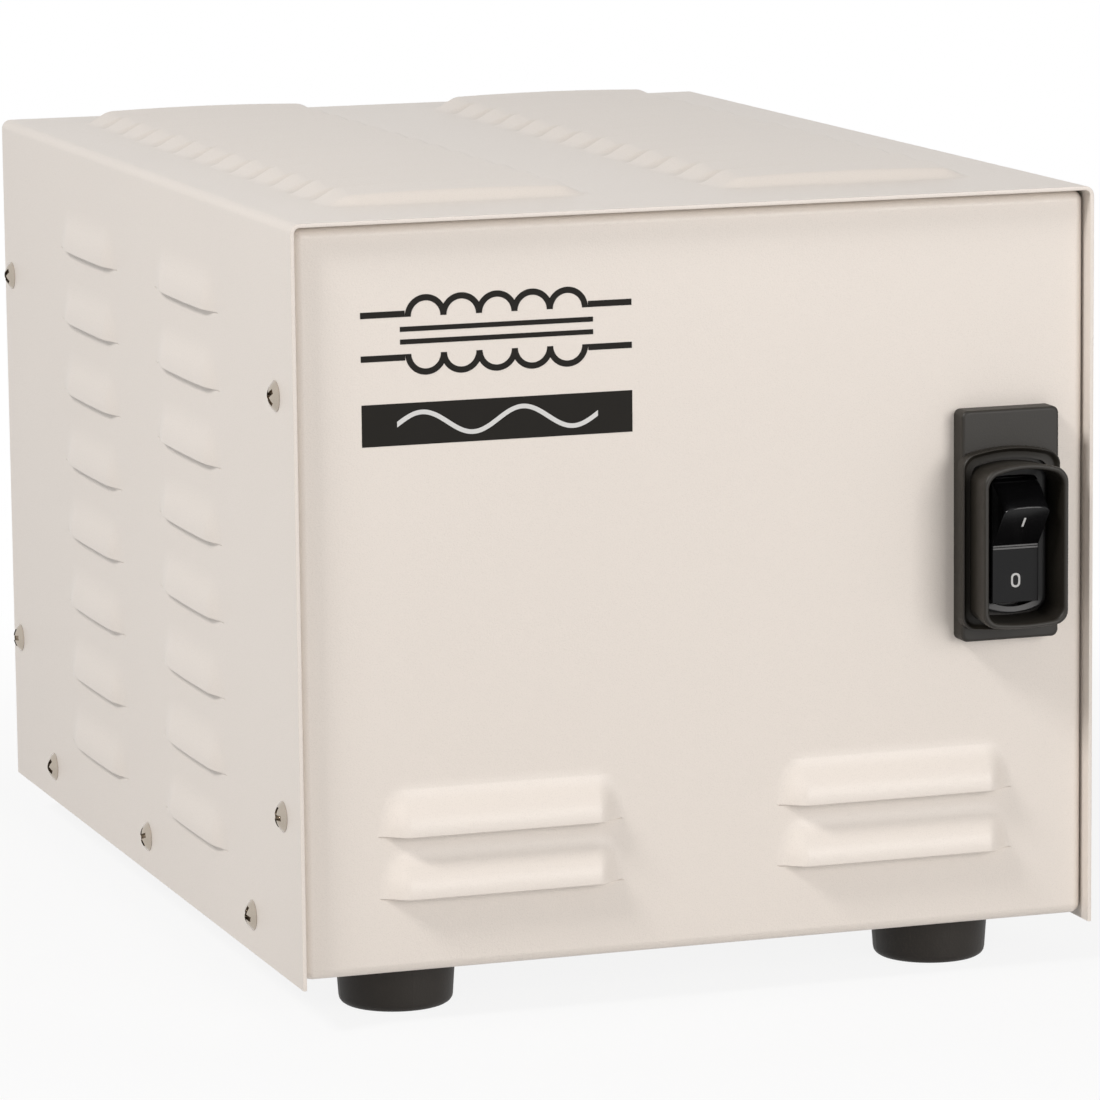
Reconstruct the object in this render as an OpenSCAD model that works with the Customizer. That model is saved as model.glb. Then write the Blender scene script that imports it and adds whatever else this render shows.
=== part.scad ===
// Isolation transformer in a folded steel case, with a guarded rocker breaker on the front panel.
// Millimetres. X to the right, Y to the back, Z up. The feet stand on z = 0, and the origin is
// under the middle of the whole object.

/* [Case] */
// Width over the cover's two sides
case_w = 203.2; // [196:0.2:230]
// Depth of the cover, front edge to rear edge
case_d = 279.4; // [270:0.2:320]
// Height of the cover, bottom edge to top face
case_h = 182.6; // [176:0.2:210]
// Thickness of the cover's sheet
cover_t = 1; // [0.8:0.1:1.4]
// Outer radius of the cover's two bends
cover_bend_r = 2.4; // [1.8:0.1:4]
// Thickness of the chassis's sheet
chassis_t = 1.5; // [1.2:0.1:2]
// Outer radius of the chassis's bends
chassis_bend_r = 2.2; // [2.1:0.1:3]
// How far the front panel lies behind the cover's front edge
front_recess = 3.2; // [2:0.1:5]
// How far the rear panel lies inside the cover's rear edge
rear_recess = 1; // [0:0.1:3]
// How far the cover's sides hang below the chassis
cover_drop = 1.45; // [0.5:0.05:3]
// Depth of the side and top flanges of the front and rear panels
panel_flange = 19; // [17:0.5:22]
// Height of the base's side flanges
base_flange = 17; // [14:0.5:20]

/* [Louvres] */
// Length of the louvres on the top
top_l = 71; // [56:0.5:74]
// Distance of the top's two louvre groups from the middle
top_x = 49.7; // [44:0.1:54]
// Distance between the top louvres
top_pitch = 17.78; // [16:0.02:19]
// Least distance of the top louvres from the cover's front edge
top_front_gap = 28; // [20:0.5:40]
// Height of the top louvres over the sheet
top_rise = 3.7; // [2.5:0.1:4.5]
// Width of a top louvre, from its lip to its foot
top_width = 16; // [12:0.5:16]
// Length of the louvres on the front
front_l = 62; // [50:0.5:70]
// Distance of the front's two louvre groups from the middle
front_x = 50.6; // [44:0.1:56]
// Distance between the front louvres
front_pitch = 15.1; // [14:0.1:17]
// Height of the front louvres over the sheet
front_rise = 4; // [2.5:0.1:4.5]
// Width of a front louvre, from its lip to its foot
front_width = 11.5; // [10.5:0.5:13]
// Length of the side louvres
side_l = 59.5; // [50:0.5:64]
// Distance between the side louvres
side_pitch = 19.05; // [17:0.05:20]
// Least distance of the side louvres from the cover's top face
side_top_gap = 16; // [10:0.5:24]
// Height of the side louvres over the sheet
side_rise = 2.2; // [1.6:0.1:3]
// Width of a side louvre, from its lip to its foot
side_width = 11.5; // [10:0.5:13]

/* [Feet] */
// Height of the rubber feet
foot_h = 12.7; // [10:0.1:16]
// Diameter of a foot at the case
foot_top_d = 29.4; // [26:0.2:32]
// Diameter of a foot at the floor
foot_bottom_d = 27.7; // [24:0.1:30]
// Distance of the feet's middle from the cover's side
foot_inset_x = 31.75; // [28:0.05:40]
// Distance of the feet's middle from the cover's front and rear edges
foot_inset_y = 28.6; // [26:0.1:40]

/* [Switch] */
// Distance of the switch's middle from the cover's right side
switch_inset = 23.2; // [22:0.1:40]
// Height of the rocker's pivot over the cover's bottom edge
switch_up = 97.6; // [90:0.1:110]
// Width of the guard's plate
guard_w = 25.4; // [25:0.1:30]
// Height of the guard's plate
guard_h = 56; // [52:0.1:62]
// Thickness of the guard's plate
guard_t = 5.5; // [5:0.1:7]
// Width of the guard's shroud
shroud_w = 21.5; // [21:0.1:23]
// Height of the guard's shroud
shroud_h = 40.3; // [40:0.1:45]
// How far the shroud's rim stands in front of the panel
shroud_reach = 17.7; // [17.7:0.1:24]
// Width of the rocker
rocker_w = 12; // [10.5:0.1:12.3]
// Length of each of the rocker's two faces
rocker_face = 13.6; // [13:0.1:14.6]
// Angle that the rocker turns through
rocker_travel = 37; // [24:1:40]
// How far the pressed face stands in front of the panel
rocker_proud = 9.4; // [9.2:0.1:9.8]

/* [Transformer] */
// Width of the core's middle limb, which sets the lamination
limb_w = 50.8; // [44:0.2:54]
// Thickness of the stack of laminations
stack_t = 88.9; // [70:0.1:96]
// Thickness of the brackets that carry the core
bracket_t = 3; // [2:0.5:4]

/* [Outlets] */
// Distance between the three outlets
outlet_pitch = 56; // [50:0.5:58]
// Height of the outlets' middle over the cover's bottom edge
outlet_up = 106; // [98:0.5:114]
// How far the outlets' faces stand out of the rear panel
outlet_proud = 2.4; // [1:0.1:4]

/* [Gland] */
// Diameter of the gland's bore for the supply lead
gland_bore_d = 12; // [8:0.5:12.5]
// Diameter of the gland's thread
gland_thread_d = 22; // [20:0.5:24]
// How far the gland's cap stands behind the rear panel
gland_reach = 20.5; // [20:0.5:30]
// Distance of the gland from the middle of the rear panel
gland_x = -62; // [-70:1:-40]
// Height of the gland over the cover's bottom edge
gland_up = 26; // [24:0.5:34]

/* [Hidden] */
$fn = 64;

// Shared clearances and how far a cut runs past a face
cut = 1;
thread_fit = 0.05;
hole_fit = 0.3;
seat_fit = 0.1;
face_fit = 0.1;

// Places of the case
front_reach = shroud_reach - front_recess;
rear_reach = gland_reach - rear_recess;
case_y0 = -case_d / 2 + (front_reach - rear_reach) / 2;
panel_y = case_y0 + front_recess;
rear_y = case_y0 + case_d - rear_recess;
base_z = foot_h;
cover_z0 = base_z - cover_drop;
cover_top = cover_z0 + case_h;
chassis_w = case_w - 2 * (cover_t + seat_fit);
chassis_top_gap = 0.4;
chassis_top = cover_top - cover_t - chassis_top_gap;
corner_notch = 3;
flange_gap = 0.8;

// Places of the louvres, and how many rows the case has room for
louvre_run = 8;
louvre_slit = 0.6;
louvre_root = 0.4;
top_last_lip = 21;
front_low_lip = 19.9;
side_low_lip = 21;
side_column = 47.3;
top_room = case_d - top_last_lip - top_width - top_front_gap;
top_count = 1 + floor(top_room / top_pitch);
side_room = case_h - side_low_lip - side_width - side_top_gap;
side_count = 1 + floor(side_room / side_pitch);

// Side screws
screw_r = 1.75;
screw_head_r = 3.8;
screw_head_h = 2;
screw_l = 8;
screw_slot_w = 0.9;
screw_slot_l = 4.4;
screw_slot_depth = 1.1;
cover_hole_r = 2.2;
column_screw_front = 14.6;
column_screw_rear = 7.4;
column_screw_ups = [39.5, 140.5];
row_screw_up = 9.6;
row_screw_pitch = 97.2;

// Foot fixings
foot_edge = 0.8;
foot_recess_r = 6.2;
foot_recess_depth = 6.5;
foot_screw_r = 2.5;
foot_screw_head_r = 4.6;
foot_screw_head_h = 3.4;
foot_washer_r = 5.8;
foot_washer_t = 1.2;
nut_r = 4.6;
nut_h = 4;
thread_over = 1.2;

// Guard, bezel and breaker case, measured from the front panel's face and the rocker's pivot
guard_up = 3.6;
guard_corner_r = 1.6;
guard_floor = 4.5;
shroud_wall = 1.4;
shroud_r = 3.2;
collar_grow = 0.9;
collar_reach = 8.6;
bezel_w = 17;
bezel_h = 35.6;
bezel_out = 8.2;
bezel_r = 2.2;
breaker_w = 15;
breaker_h = 34;
breaker_depth = 33;
breaker_wall = 1.1;
rocker_valley = 4;
rocker_back = 4.5;
rocker_wall = 1.4;
rocker_hub_r = 3;
pivot_r = 1;
pivot_fit = 0.05;
half_travel = rocker_travel / 2;
pivot_in = -rocker_proud + rocker_valley * cos(half_travel);
rocker_tip_y = rocker_valley + rocker_face * sin(half_travel);
rocker_tip_z = rocker_face * cos(half_travel);
rocker_sweep_r = norm([rocker_tip_y, rocker_tip_z]);
sweep_fit = 0.3;
boss_r = 3.1;
boss_reach = 9.5;
plunger_r = 1.9;
plunger_fit = 0.15;
plunger_nose_r = 1.5;
plunger_reach = 13;
spring_seat = 2.2;
spring_l = 4.3;
arm_pivot_back = 15.2;
arm_swing = 16;
arm_w = 5;
arm_t = 1.2;
arm_hub_r = 1.6;
arm_pin_r = 0.75;
arm_up = 6;
arm_down = 11.5;
contact_r = 2;
contact_t = 1.1;
contact_down = 9.5;
contact_gap = 0.5;
ear_gap = 0.3;
ear_t = 1;
terminal_t = 0.8;
blade_w = 6.3;
blade_out = 8;
coil_r = 3.8;
coil_l = 11;
coil_core_r = 1.8;
coil_up = 9;
rivet_r = 1.1;
rivet_boss_r = 2;
rivet_head_r = 1.9;
rivet_head_t = 0.5;
rivet_front_y = 9.5;
clip_w = 8;
clip_t = 0.5;
clip_l = 11;
clip_rise = 1.6;

// Core and coil
lam_width_share = 3;
window_width_share = 0.5;
window_height_share = 1.5;
yoke_height_share = 0.5;
lam_w = lam_width_share * limb_w;
window_w = window_width_share * limb_w;
window_h = window_height_share * limb_w;
yoke_h = yoke_height_share * limb_w;
core_z = base_z + chassis_t;
core_h = window_h + 2 * yoke_h;
core_y = case_y0 + case_d / 2;
bobbin_fit = 0.3;
bobbin_t = 1.8;
bobbin_flange_t = 2;
coil_gap = 0.15;
screen_t = 0.3;
wrap_t = 0.6;
window_fit = 0.8;
coil_space = window_w - bobbin_fit - bobbin_t - screen_t - wrap_t - 4 * coil_gap - window_fit;
primary_t = coil_space / 2;
secondary_t = coil_space / 2;
bobbin_r = 1.5;
core_bolt_r = 3.1;
core_bolt_inset = 11;
bolt_fit = 0.25;
bolt_head_r = 5.8;
bolt_head_h = 4.2;
bracket_leg = 22;
bracket_foot = 26;
mount_bolt_r = 2.9;
mount_bolt_x = 55;
mount_bolt_out = 15;

// Outlet sizes, after the common 15 A duplex receptacle
outlet_face_r = 17.15;
outlet_face_h = 28.6;
outlet_face_up = 19.05;
outlet_body_w = 41;
outlet_body_h = 67;
outlet_body_d = 26;
strap_t = 1.3;
strap_ear_w = 33;
strap_h = 105;
strap_back_w = 12;
outlet_screw_up = 41.65;
outlet_slot_w = 1.9;
outlet_slot_x = 6.35;
outlet_slot_up = 4;
neutral_slot_h = 8;
hot_slot_h = 6.5;
outlet_slot_depth = 6;
earth_hole_r = 2.45;
earth_hole_up = -7.9;
pocket_w = 3.6;
pocket_h = 9;
pocket_depth = 12;
contact_wall = 0.7;

// Gland sizes
gland_hex_r = 15.5;
gland_flange_t = 5;
gland_body_bore_r = 8.6;
gland_seal_r = 8.4;
gland_seal_l = 11;
gland_cap_r = 13.8;
gland_cap_lip = 2;
gland_cap_bevel = 1.6;
gland_inner_l = 10;
gland_nut_t = 4.5;

// Ground stud and terminal block
stud_gap = 9.15;
stud_back = 44;
stud_r = 2.5;
stud_l = 16;
stud_head_h = 3;
ring_r = 5.4;
ring_t = 1.2;
ring_tongue = 7.5;
ring_tongue_w = 3;
block_x = -60;
block_back = 46;
block_w = 34;
block_d = 20;
block_h = 15;
block_hole_r = 2.1;
block_screw_r = 1.7;
block_screw_head_r = 2.9;
block_screw_head_h = 1.8;
block_pitch = 10.5;
way_up = nut_h + ring_t / 2;

// Leads
lead_r = 1.5;
lead_bend = 6;
lead_clear = 12;
lead_turn = 6;
lead_step = 4;
tap_pitch = 14;
tap_x = 5;
outlet_tap_x = 18;
primary_tap_x = 12.7;

// Places of the switch and of the breaker's parts
switch_x = case_w / 2 - switch_inset;
pivot_z = cover_z0 + switch_up;
arm_y = pivot_in + arm_pivot_back;
blade_end_y = panel_y + breaker_depth + blade_out;

// Rings of the coil, as distances off the middle limb
tube_out = bobbin_fit + bobbin_t;
primary_in = tube_out + coil_gap;
screen_in = primary_in + primary_t + coil_gap;
secondary_in = screen_in + screen_t + coil_gap;
wrap_in = secondary_in + secondary_t + coil_gap;
coil_z = core_z + yoke_h + bobbin_fit + bobbin_flange_t;
coil_height = window_h - 2 * (bobbin_fit + bobbin_flange_t);
coil_out = wrap_in + wrap_t;
coil_front_y = core_y - stack_t / 2 - coil_out;
coil_rear_y = core_y + stack_t / 2 + coil_out;

// Where the leads turn
stud_x = case_w / 2 - foot_inset_x - foot_top_d / 2 - stud_gap;
block_y = rear_y - block_back;
stud_y = rear_y - stud_back;
turn_y = block_y - block_d / 2 - lead_turn;
front_turn_y = coil_front_y - lead_clear;
way_z = base_z + chassis_t + way_up;
corridor_x = (lam_w + case_w) / 4;
tap_z = coil_z + lead_clear;

// Middle of the switch, on the front panel's face
module at_switch() {
    translate([switch_x, panel_y, pivot_z])
        children();
}

// Middle of an outlet, on the rear panel's outer face, from the left seen from the front
module at_outlet(column) {
    translate([column * outlet_pitch, rear_y, cover_z0 + outlet_up])
        children();
}

module at_gland() {
    translate([gland_x, rear_y, cover_z0 + gland_up])
        children();
}

module rounded_rect(w, h, r) {
    square([w - 2 * r, h], center = true);
    square([w, h - 2 * r], center = true);
    for (x = [-1, 1], y = [-1, 1])
        translate([x * (w / 2 - r), y * (h / 2 - r)])
            circle(r);
}

// Rectangle that stands on y = 0 with its two lower corners rounded
module round_footed(w, h, r) {
    translate([-w / 2 + r, 0])
        square([w - 2 * r, h]);
    translate([-w / 2, r])
        square([w, h - r]);
    for (side = [-1, 1])
        translate([side * (w / 2 - r), r])
            circle(r);
}

// Section of a folded channel, open upwards
module channel_section(w, h, t, r) {
    difference() {
        round_footed(w, h, r);
        translate([0, t])
            round_footed(w - 2 * t, h, r - t);
    }
}

// Stands a flat outline up in the XZ plane and gives it a depth towards the back
module upright(depth) {
    translate([0, depth, 0])
        rotate([90, 0, 0])
            linear_extrude(depth)
                children();
}

// Turns a flat outline of (y, z) into a bar along X, centred
module sideways(length) {
    translate([-length / 2, 0, 0])
        rotate([90, 0, 90])
            linear_extrude(length)
                children();
}

// Quarter of a bend: from the outer face of a wall at y = 0 to a floor at z = 0
module bend_quarter(length, t, r) {
    sideways(length)
        intersection() {
            translate([r, r])
                difference() {
                    circle(r);
                    circle(r - t);
                }
            square([r, r]);
        }
}

function arc_r(run, rise) = (run * run + rise * rise) / (2 * rise);

// Section that falls from the height rise to nothing along an arc, and goes below the sheet's face
module fall_section(run, rise, r, below) {
    intersection() {
        translate([0, rise - r])
            circle(r);
        translate([0, -below])
            square([run, rise + below]);
    }
}

// Raised form of a louvre: flat in the middle, falling at both ends and at the foot
module louvre_block(flat_l, flat_w, lead, run, rise, r, below) {
    translate([-flat_l / 2, -lead, -below])
        cube([flat_l, flat_w + lead, rise + below]);
    translate([0, flat_w, 0])
        sideways(flat_l)
            fall_section(run, rise, r, below);
    for (side = [0, 1])
        mirror([side, 0, 0])
            translate([flat_l / 2, flat_w, 0]) {
                rotate([90, 0, 0])
                    linear_extrude(flat_w + lead)
                        fall_section(run, rise, r, below);
                rotate_extrude(angle = 90)
                    fall_section(run, rise, r, below);
            }
}

module louvre_form(l, width, rise) {
    louvre_block(l - 2 * louvre_run, width - louvre_run, 0, louvre_run, rise,
        arc_r(louvre_run, rise), louvre_root);
}

module louvre_void(l, width, rise, t) {
    r = arc_r(louvre_run, rise);
    inner_run = sqrt(pow(r - t, 2) - pow(r - rise - t, 2));
    louvre_block(l - 2 * louvre_run, width - louvre_run, louvre_slit, inner_run, rise - t,
        r - t, t + cut);
}

// Shallow louvre: an arch along its length that falls in one arc from the lip to the foot
module arch_block(l, width, lead, rise, shrink, below) {
    long_r = arc_r(l / 2, rise);
    fall_r = arc_r(width, rise);
    inner_width = sqrt(pow(fall_r - shrink, 2) - pow(fall_r - rise - shrink, 2));
    inner_l = 2 * sqrt(pow(long_r - shrink, 2) - pow(long_r - rise - shrink, 2));
    foot = shrink > 0 ? inner_width : width;
    reach = shrink > 0 ? inner_l : l;
    intersection() {
        translate([0, foot, rise - long_r])
            rotate([90, 0, 0])
                cylinder(r = long_r - shrink, h = foot + lead);
        translate([-reach / 2, 0, rise - fall_r])
            rotate([0, 90, 0])
                cylinder(r = fall_r - shrink, h = reach);
        translate([-reach / 2, -lead, -below])
            cube([reach, foot + lead, rise + below]);
    }
}

module arch_form() {
    arch_block(side_l, side_width, 0, side_rise, 0, louvre_root);
}

module arch_void() {
    arch_block(side_l, side_width, louvre_slit, side_rise, cover_t, cover_t + cut);
}

// Every louvre's place on the cover's top, its lip towards the rear
module each_top_louvre() {
    for (x = [-top_x, top_x], i = [0 : top_count - 1])
        translate([x, case_y0 + case_d - top_last_lip - i * top_pitch, cover_top])
            rotate([0, 0, 180])
                children();
}

// Every louvre's place on the cover's two sides, its lip downwards
module each_side_louvre() {
    for (side = [-1, 1], column = [-1, 1], i = [0 : side_count - 1])
        translate([side * case_w / 2, core_y + column * side_column,
                cover_z0 + side_low_lip + i * side_pitch])
            rotate([90, 0, side * 90])
                children();
}

module each_front_louvre() {
    for (x = [-front_x, front_x], i = [0, 1])
        translate([x, panel_y, cover_z0 + front_low_lip + i * front_pitch])
            rotate([90, 0, 0])
                children();
}

// Every side screw's place, on the cover's outer face with Z outwards
module each_cover_screw() {
    for (side = [-1, 1]) {
        for (y = [column_screw_front, case_d - column_screw_rear], z = column_screw_ups)
            translate([side * case_w / 2, case_y0 + y, cover_z0 + z])
                rotate([0, side * 90, 0])
                    children();
        for (i = [-1 : 1])
            translate([side * case_w / 2, core_y + i * row_screw_pitch, cover_z0 + row_screw_up])
                rotate([0, side * 90, 0])
                    children();
    }
}

module each_foot() {
    for (x = [-1, 1], y = [foot_inset_y, case_d - foot_inset_y])
        translate([x * (case_w / 2 - foot_inset_x), case_y0 + y, 0])
            children();
}

// Pan head screw with a cross recess, its head above z = 0
module pan_screw(head_r, head_h, shank_r, length) {
    ball_r = arc_r(head_r, head_h);
    difference() {
        intersection() {
            translate([0, 0, head_h - ball_r])
                sphere(ball_r);
            cylinder(r = head_r, h = head_h);
        }
        for (turn = [0, 90])
            rotate([0, 0, turn])
                translate([-screw_slot_l / 2, -screw_slot_w / 2, head_h - screw_slot_depth])
                    cube([screw_slot_l, screw_slot_w, screw_slot_depth + cut]);
    }
    translate([0, 0, -length])
        cylinder(r = shank_r, h = length);
}

module hex_nut(r, h, bore_r) {
    difference() {
        cylinder(r = r, h = h, $fn = 6);
        translate([0, 0, -cut])
            cylinder(r = bore_r, h = h + 2 * cut);
    }
}

module hex_bolt(head_r, head_h, shank_r, length) {
    cylinder(r = head_r, h = head_h, $fn = 6);
    translate([0, 0, -length])
        cylinder(r = shank_r, h = length);
}

module cover() {
    color([0.84, 0.81, 0.77])
        difference() {
            union() {
                translate([0, case_y0, cover_top])
                    upright(case_d)
                        mirror([0, 1])
                            channel_section(case_w, case_h, cover_t, cover_bend_r);
                each_top_louvre()
                    louvre_form(top_l, top_width, top_rise);
                each_side_louvre()
                    arch_form();
            }
            each_top_louvre()
                louvre_void(top_l, top_width, top_rise, cover_t);
            each_side_louvre()
                arch_void();
            each_cover_screw()
                translate([0, 0, -cover_t - cut])
                    cylinder(r = cover_hole_r, h = cover_t + 2 * cut);
        }
}

// Front or rear panel with its flanges, its outer face at y = 0 and its foot bent into the base
module end_panel() {
    notched_w = chassis_w - 2 * corner_notch;
    panel_low = base_z + corner_notch;
    panel_high = chassis_top - corner_notch;
    translate([0, 0, panel_low])
        linear_extrude(panel_high - panel_low)
            channel_section(chassis_w, panel_flange, chassis_t, chassis_bend_r);
    translate([-notched_w / 2, 0, base_z + chassis_bend_r])
        cube([notched_w, chassis_t, chassis_top - base_z - 2 * chassis_bend_r]);
    translate([0, 0, base_z])
        bend_quarter(notched_w, chassis_t, chassis_bend_r);
    translate([0, 0, chassis_top])
        mirror([0, 0, 1])
            bend_quarter(notched_w, chassis_t, chassis_bend_r);
    translate([-notched_w / 2, chassis_bend_r, chassis_top - chassis_t])
        cube([notched_w, panel_flange - chassis_bend_r, chassis_t]);
}

// Outline of an outlet's face: a disc with a flat top and bottom
module outlet_face(grow) {
    intersection() {
        circle(outlet_face_r + grow);
        square([2 * (outlet_face_r + grow), outlet_face_h + 2 * grow], center = true);
    }
}

module chassis() {
    tray_y0 = panel_y + panel_flange + flange_gap;
    tray_y1 = rear_y - panel_flange - flange_gap;
    notched_w = chassis_w - 2 * corner_notch;
    color([0.86, 0.83, 0.79])
        difference() {
            union() {
                translate([0, panel_y, 0])
                    end_panel();
                translate([0, rear_y, 0])
                    mirror([0, 1, 0])
                        end_panel();
                translate([-notched_w / 2, panel_y + chassis_bend_r, base_z])
                    cube([notched_w, rear_y - panel_y - 2 * chassis_bend_r, chassis_t]);
                translate([0, tray_y0, base_z])
                    upright(tray_y1 - tray_y0)
                        channel_section(chassis_w, base_flange, chassis_t, chassis_bend_r);
                each_front_louvre()
                    louvre_form(front_l, front_width, front_rise);
            }
            each_front_louvre()
                louvre_void(front_l, front_width, front_rise, chassis_t);
            each_cover_screw()
                translate([0, 0, -cover_t - seat_fit - chassis_t - cut])
                    cylinder(r = screw_r + thread_fit, h = chassis_t + 2 * cut);
            each_foot()
                translate([0, 0, base_z - cut])
                    cylinder(r = foot_screw_r + hole_fit, h = chassis_t + 2 * cut);
            each_mount_bolt()
                translate([0, 0, -chassis_t - cut])
                    cylinder(r = mount_bolt_r + hole_fit, h = chassis_t + 2 * cut);
            at_switch()
                translate([0, -cut, 0])
                    upright(chassis_t + 2 * cut)
                        square([breaker_w + 2 * hole_fit, breaker_h + 2 * hole_fit], center = true);
            for (column = [-1 : 1])
                at_outlet(column) {
                    for (z = [-1, 1]) {
                        translate([0, -chassis_t - cut, z * outlet_face_up])
                            upright(chassis_t + 2 * cut)
                                outlet_face(hole_fit);
                        translate([0, cut, z * outlet_screw_up])
                            rotate([90, 0, 0])
                                cylinder(r = screw_r + hole_fit, h = chassis_t + 2 * cut);
                    }
                }
            at_gland()
                translate([0, cut, 0])
                    rotate([90, 0, 0])
                        cylinder(d = gland_thread_d + 2 * hole_fit, h = chassis_t + 2 * cut);
            translate([stud_x, stud_y, base_z - cut])
                cylinder(r = stud_r + hole_fit, h = chassis_t + 2 * cut);
        }
}

module cover_screws() {
    color([0.75, 0.74, 0.72])
        each_cover_screw()
            pan_screw(screw_head_r, screw_head_h, screw_r, screw_l);
}

// One rubber foot, with a recess for the screw's head
module foot() {
    top_r = foot_top_d / 2;
    bottom_r = foot_bottom_d / 2;
    color([0.13, 0.12, 0.11])
        difference() {
            rotate_extrude()
                polygon([[0, 0], [bottom_r - foot_edge, 0], [bottom_r, foot_edge],
                    [top_r, foot_h], [0, foot_h]]);
            translate([0, 0, -cut])
                cylinder(r = foot_recess_r, h = foot_recess_depth + cut);
            translate([0, 0, -cut])
                cylinder(r = foot_screw_r + hole_fit, h = foot_h + 2 * cut);
        }
}

module foot_at(x, y) {
    translate([x * (case_w / 2 - foot_inset_x), core_y + y * (case_d / 2 - foot_inset_y), 0])
        foot();
}

module foot_screws() {
    color([0.62, 0.62, 0.63])
        each_foot()
            translate([0, 0, foot_recess_depth - foot_washer_t]) {
                translate([0, 0, -foot_screw_head_h])
                    cylinder(r = foot_screw_head_r, h = foot_screw_head_h);
                cylinder(r = foot_screw_r,
                    h = foot_h - foot_recess_depth + foot_washer_t + chassis_t + nut_h + thread_over);
            }
}

module foot_washers() {
    color([0.7, 0.7, 0.71])
        each_foot()
            translate([0, 0, foot_recess_depth - foot_washer_t])
                difference() {
                    cylinder(r = foot_washer_r, h = foot_washer_t);
                    translate([0, 0, -cut])
                        cylinder(r = foot_screw_r + hole_fit, h = foot_washer_t + 2 * cut);
                }
}

module foot_nuts() {
    color([0.62, 0.62, 0.63])
        each_foot()
            translate([0, 0, base_z + chassis_t])
                hex_nut(nut_r, nut_h, foot_screw_r + thread_fit);
}

// Soft guard that stands round the rocker
module switch_guard() {
    color([0.25, 0.24, 0.22])
        at_switch()
            difference() {
                union() {
                    translate([0, -guard_t, guard_up])
                        upright(guard_t)
                            rounded_rect(guard_w, guard_h, guard_corner_r);
                    translate([0, -collar_reach, 0])
                        upright(collar_reach)
                            rounded_rect(shroud_w + 2 * collar_grow, shroud_h + 2 * collar_grow,
                                shroud_r + collar_grow);
                    translate([0, -shroud_reach, 0])
                        upright(shroud_reach)
                            rounded_rect(shroud_w, shroud_h, shroud_r);
                }
                translate([0, -shroud_reach - cut, 0])
                    upright(shroud_reach - guard_floor + cut)
                        rounded_rect(shroud_w - 2 * shroud_wall, shroud_h - 2 * shroud_wall,
                            shroud_r - shroud_wall);
                translate([0, -guard_floor - cut, 0])
                    upright(guard_floor + 2 * cut)
                        square([breaker_w + 2 * hole_fit, breaker_h + 2 * hole_fit], center = true);
            }
}

// Frame that the rocker turns in, on the guard's floor
module breaker_bezel() {
    bezel_t = bezel_out - guard_floor;
    color([0.09, 0.09, 0.09])
        at_switch()
            difference() {
                translate([0, -bezel_out, 0])
                    upright(bezel_t)
                        rounded_rect(bezel_w, bezel_h, bezel_r);
                translate([0, pivot_in, 0])
                    intersection() {
                        sideways(rocker_w + 2 * sweep_fit)
                            circle(rocker_sweep_r + sweep_fit);
                        cube([bezel_w, 2 * bezel_out, bezel_h], center = true);
                    }
                translate([0, pivot_in, 0])
                    sideways(bezel_w + 2 * cut)
                        circle(pivot_r + thread_fit);
            }
}

// Breaker case, hollow, before it is split down the middle
module breaker_shell() {
    inner_w = breaker_w - 2 * breaker_wall;
    inner_h = breaker_h - 2 * breaker_wall;
    floor_y = -guard_floor + face_fit;
    cavity_y = chassis_t;
    rear = breaker_depth - breaker_wall;
    difference() {
        translate([0, floor_y, 0])
            upright(breaker_depth - floor_y)
                square([breaker_w, breaker_h], center = true);
        difference() {
            translate([0, cavity_y, 0])
                upright(rear - cavity_y)
                    square([inner_w, inner_h], center = true);
            each_rivet()
                cylinder(r = rivet_boss_r, h = breaker_w, center = true);
        }
        translate([0, pivot_in, 0])
            sideways(inner_w)
                circle(rocker_sweep_r + sweep_fit);
        each_rivet()
            cylinder(r = rivet_r + thread_fit, h = breaker_w + 2 * cut, center = true);
        for (z = [0, -contact_down])
            translate([-blade_w / 2 - face_fit, rear - cut, z - terminal_t / 2 - face_fit])
                cube([blade_w + 2 * face_fit, breaker_wall + 2 * cut, terminal_t + 2 * face_fit]);
    }
}

// Every rivet's place in the breaker, its axis along X
module each_rivet() {
    z_out = breaker_h / 2 - rivet_boss_r;
    for (y = [rivet_front_y, breaker_depth - rivet_boss_r], z = [-z_out, z_out])
        translate([0, y, z])
            rotate([0, 90, 0])
                children();
}

module breaker_half(side) {
    color([0.12, 0.12, 0.12])
        at_switch()
            intersection() {
                breaker_shell();
                translate([side > 0 ? face_fit / 2 : -breaker_w, -guard_floor, -breaker_h / 2])
                    cube([breaker_w - face_fit / 2, guard_floor + breaker_depth, breaker_h]);
            }
}

module breaker_rivets() {
    color([0.72, 0.68, 0.55])
        at_switch()
            each_rivet() {
                cylinder(r = rivet_r, h = breaker_w, center = true);
                for (side = [0, 1])
                    mirror([0, 0, side])
                        translate([0, 0, breaker_w / 2])
                            cylinder(r = rivet_head_r, h = rivet_head_t);
            }
}

// Two spring clips that hold the breaker behind the panel
module breaker_clips() {
    clip_y = chassis_t + face_fit;
    color([0.66, 0.66, 0.68])
        at_switch()
            for (side = [0, 1])
                mirror([0, 0, side])
                    translate([0, 0, breaker_h / 2])
                        sideways(clip_w)
                            polygon([[clip_y, clip_rise], [clip_y + clip_t, clip_rise + clip_t],
                                [clip_y + clip_l / 2, clip_t], [clip_y + clip_l, clip_t],
                                [clip_y + clip_l, 0], [clip_y + clip_l / 2, 0]]);
}

// The rocker's pivot, turned so that the rocker is off
module at_rocker() {
    at_switch()
        translate([0, pivot_in, 0])
            rotate([half_travel, 0, 0])
                children();
}

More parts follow.
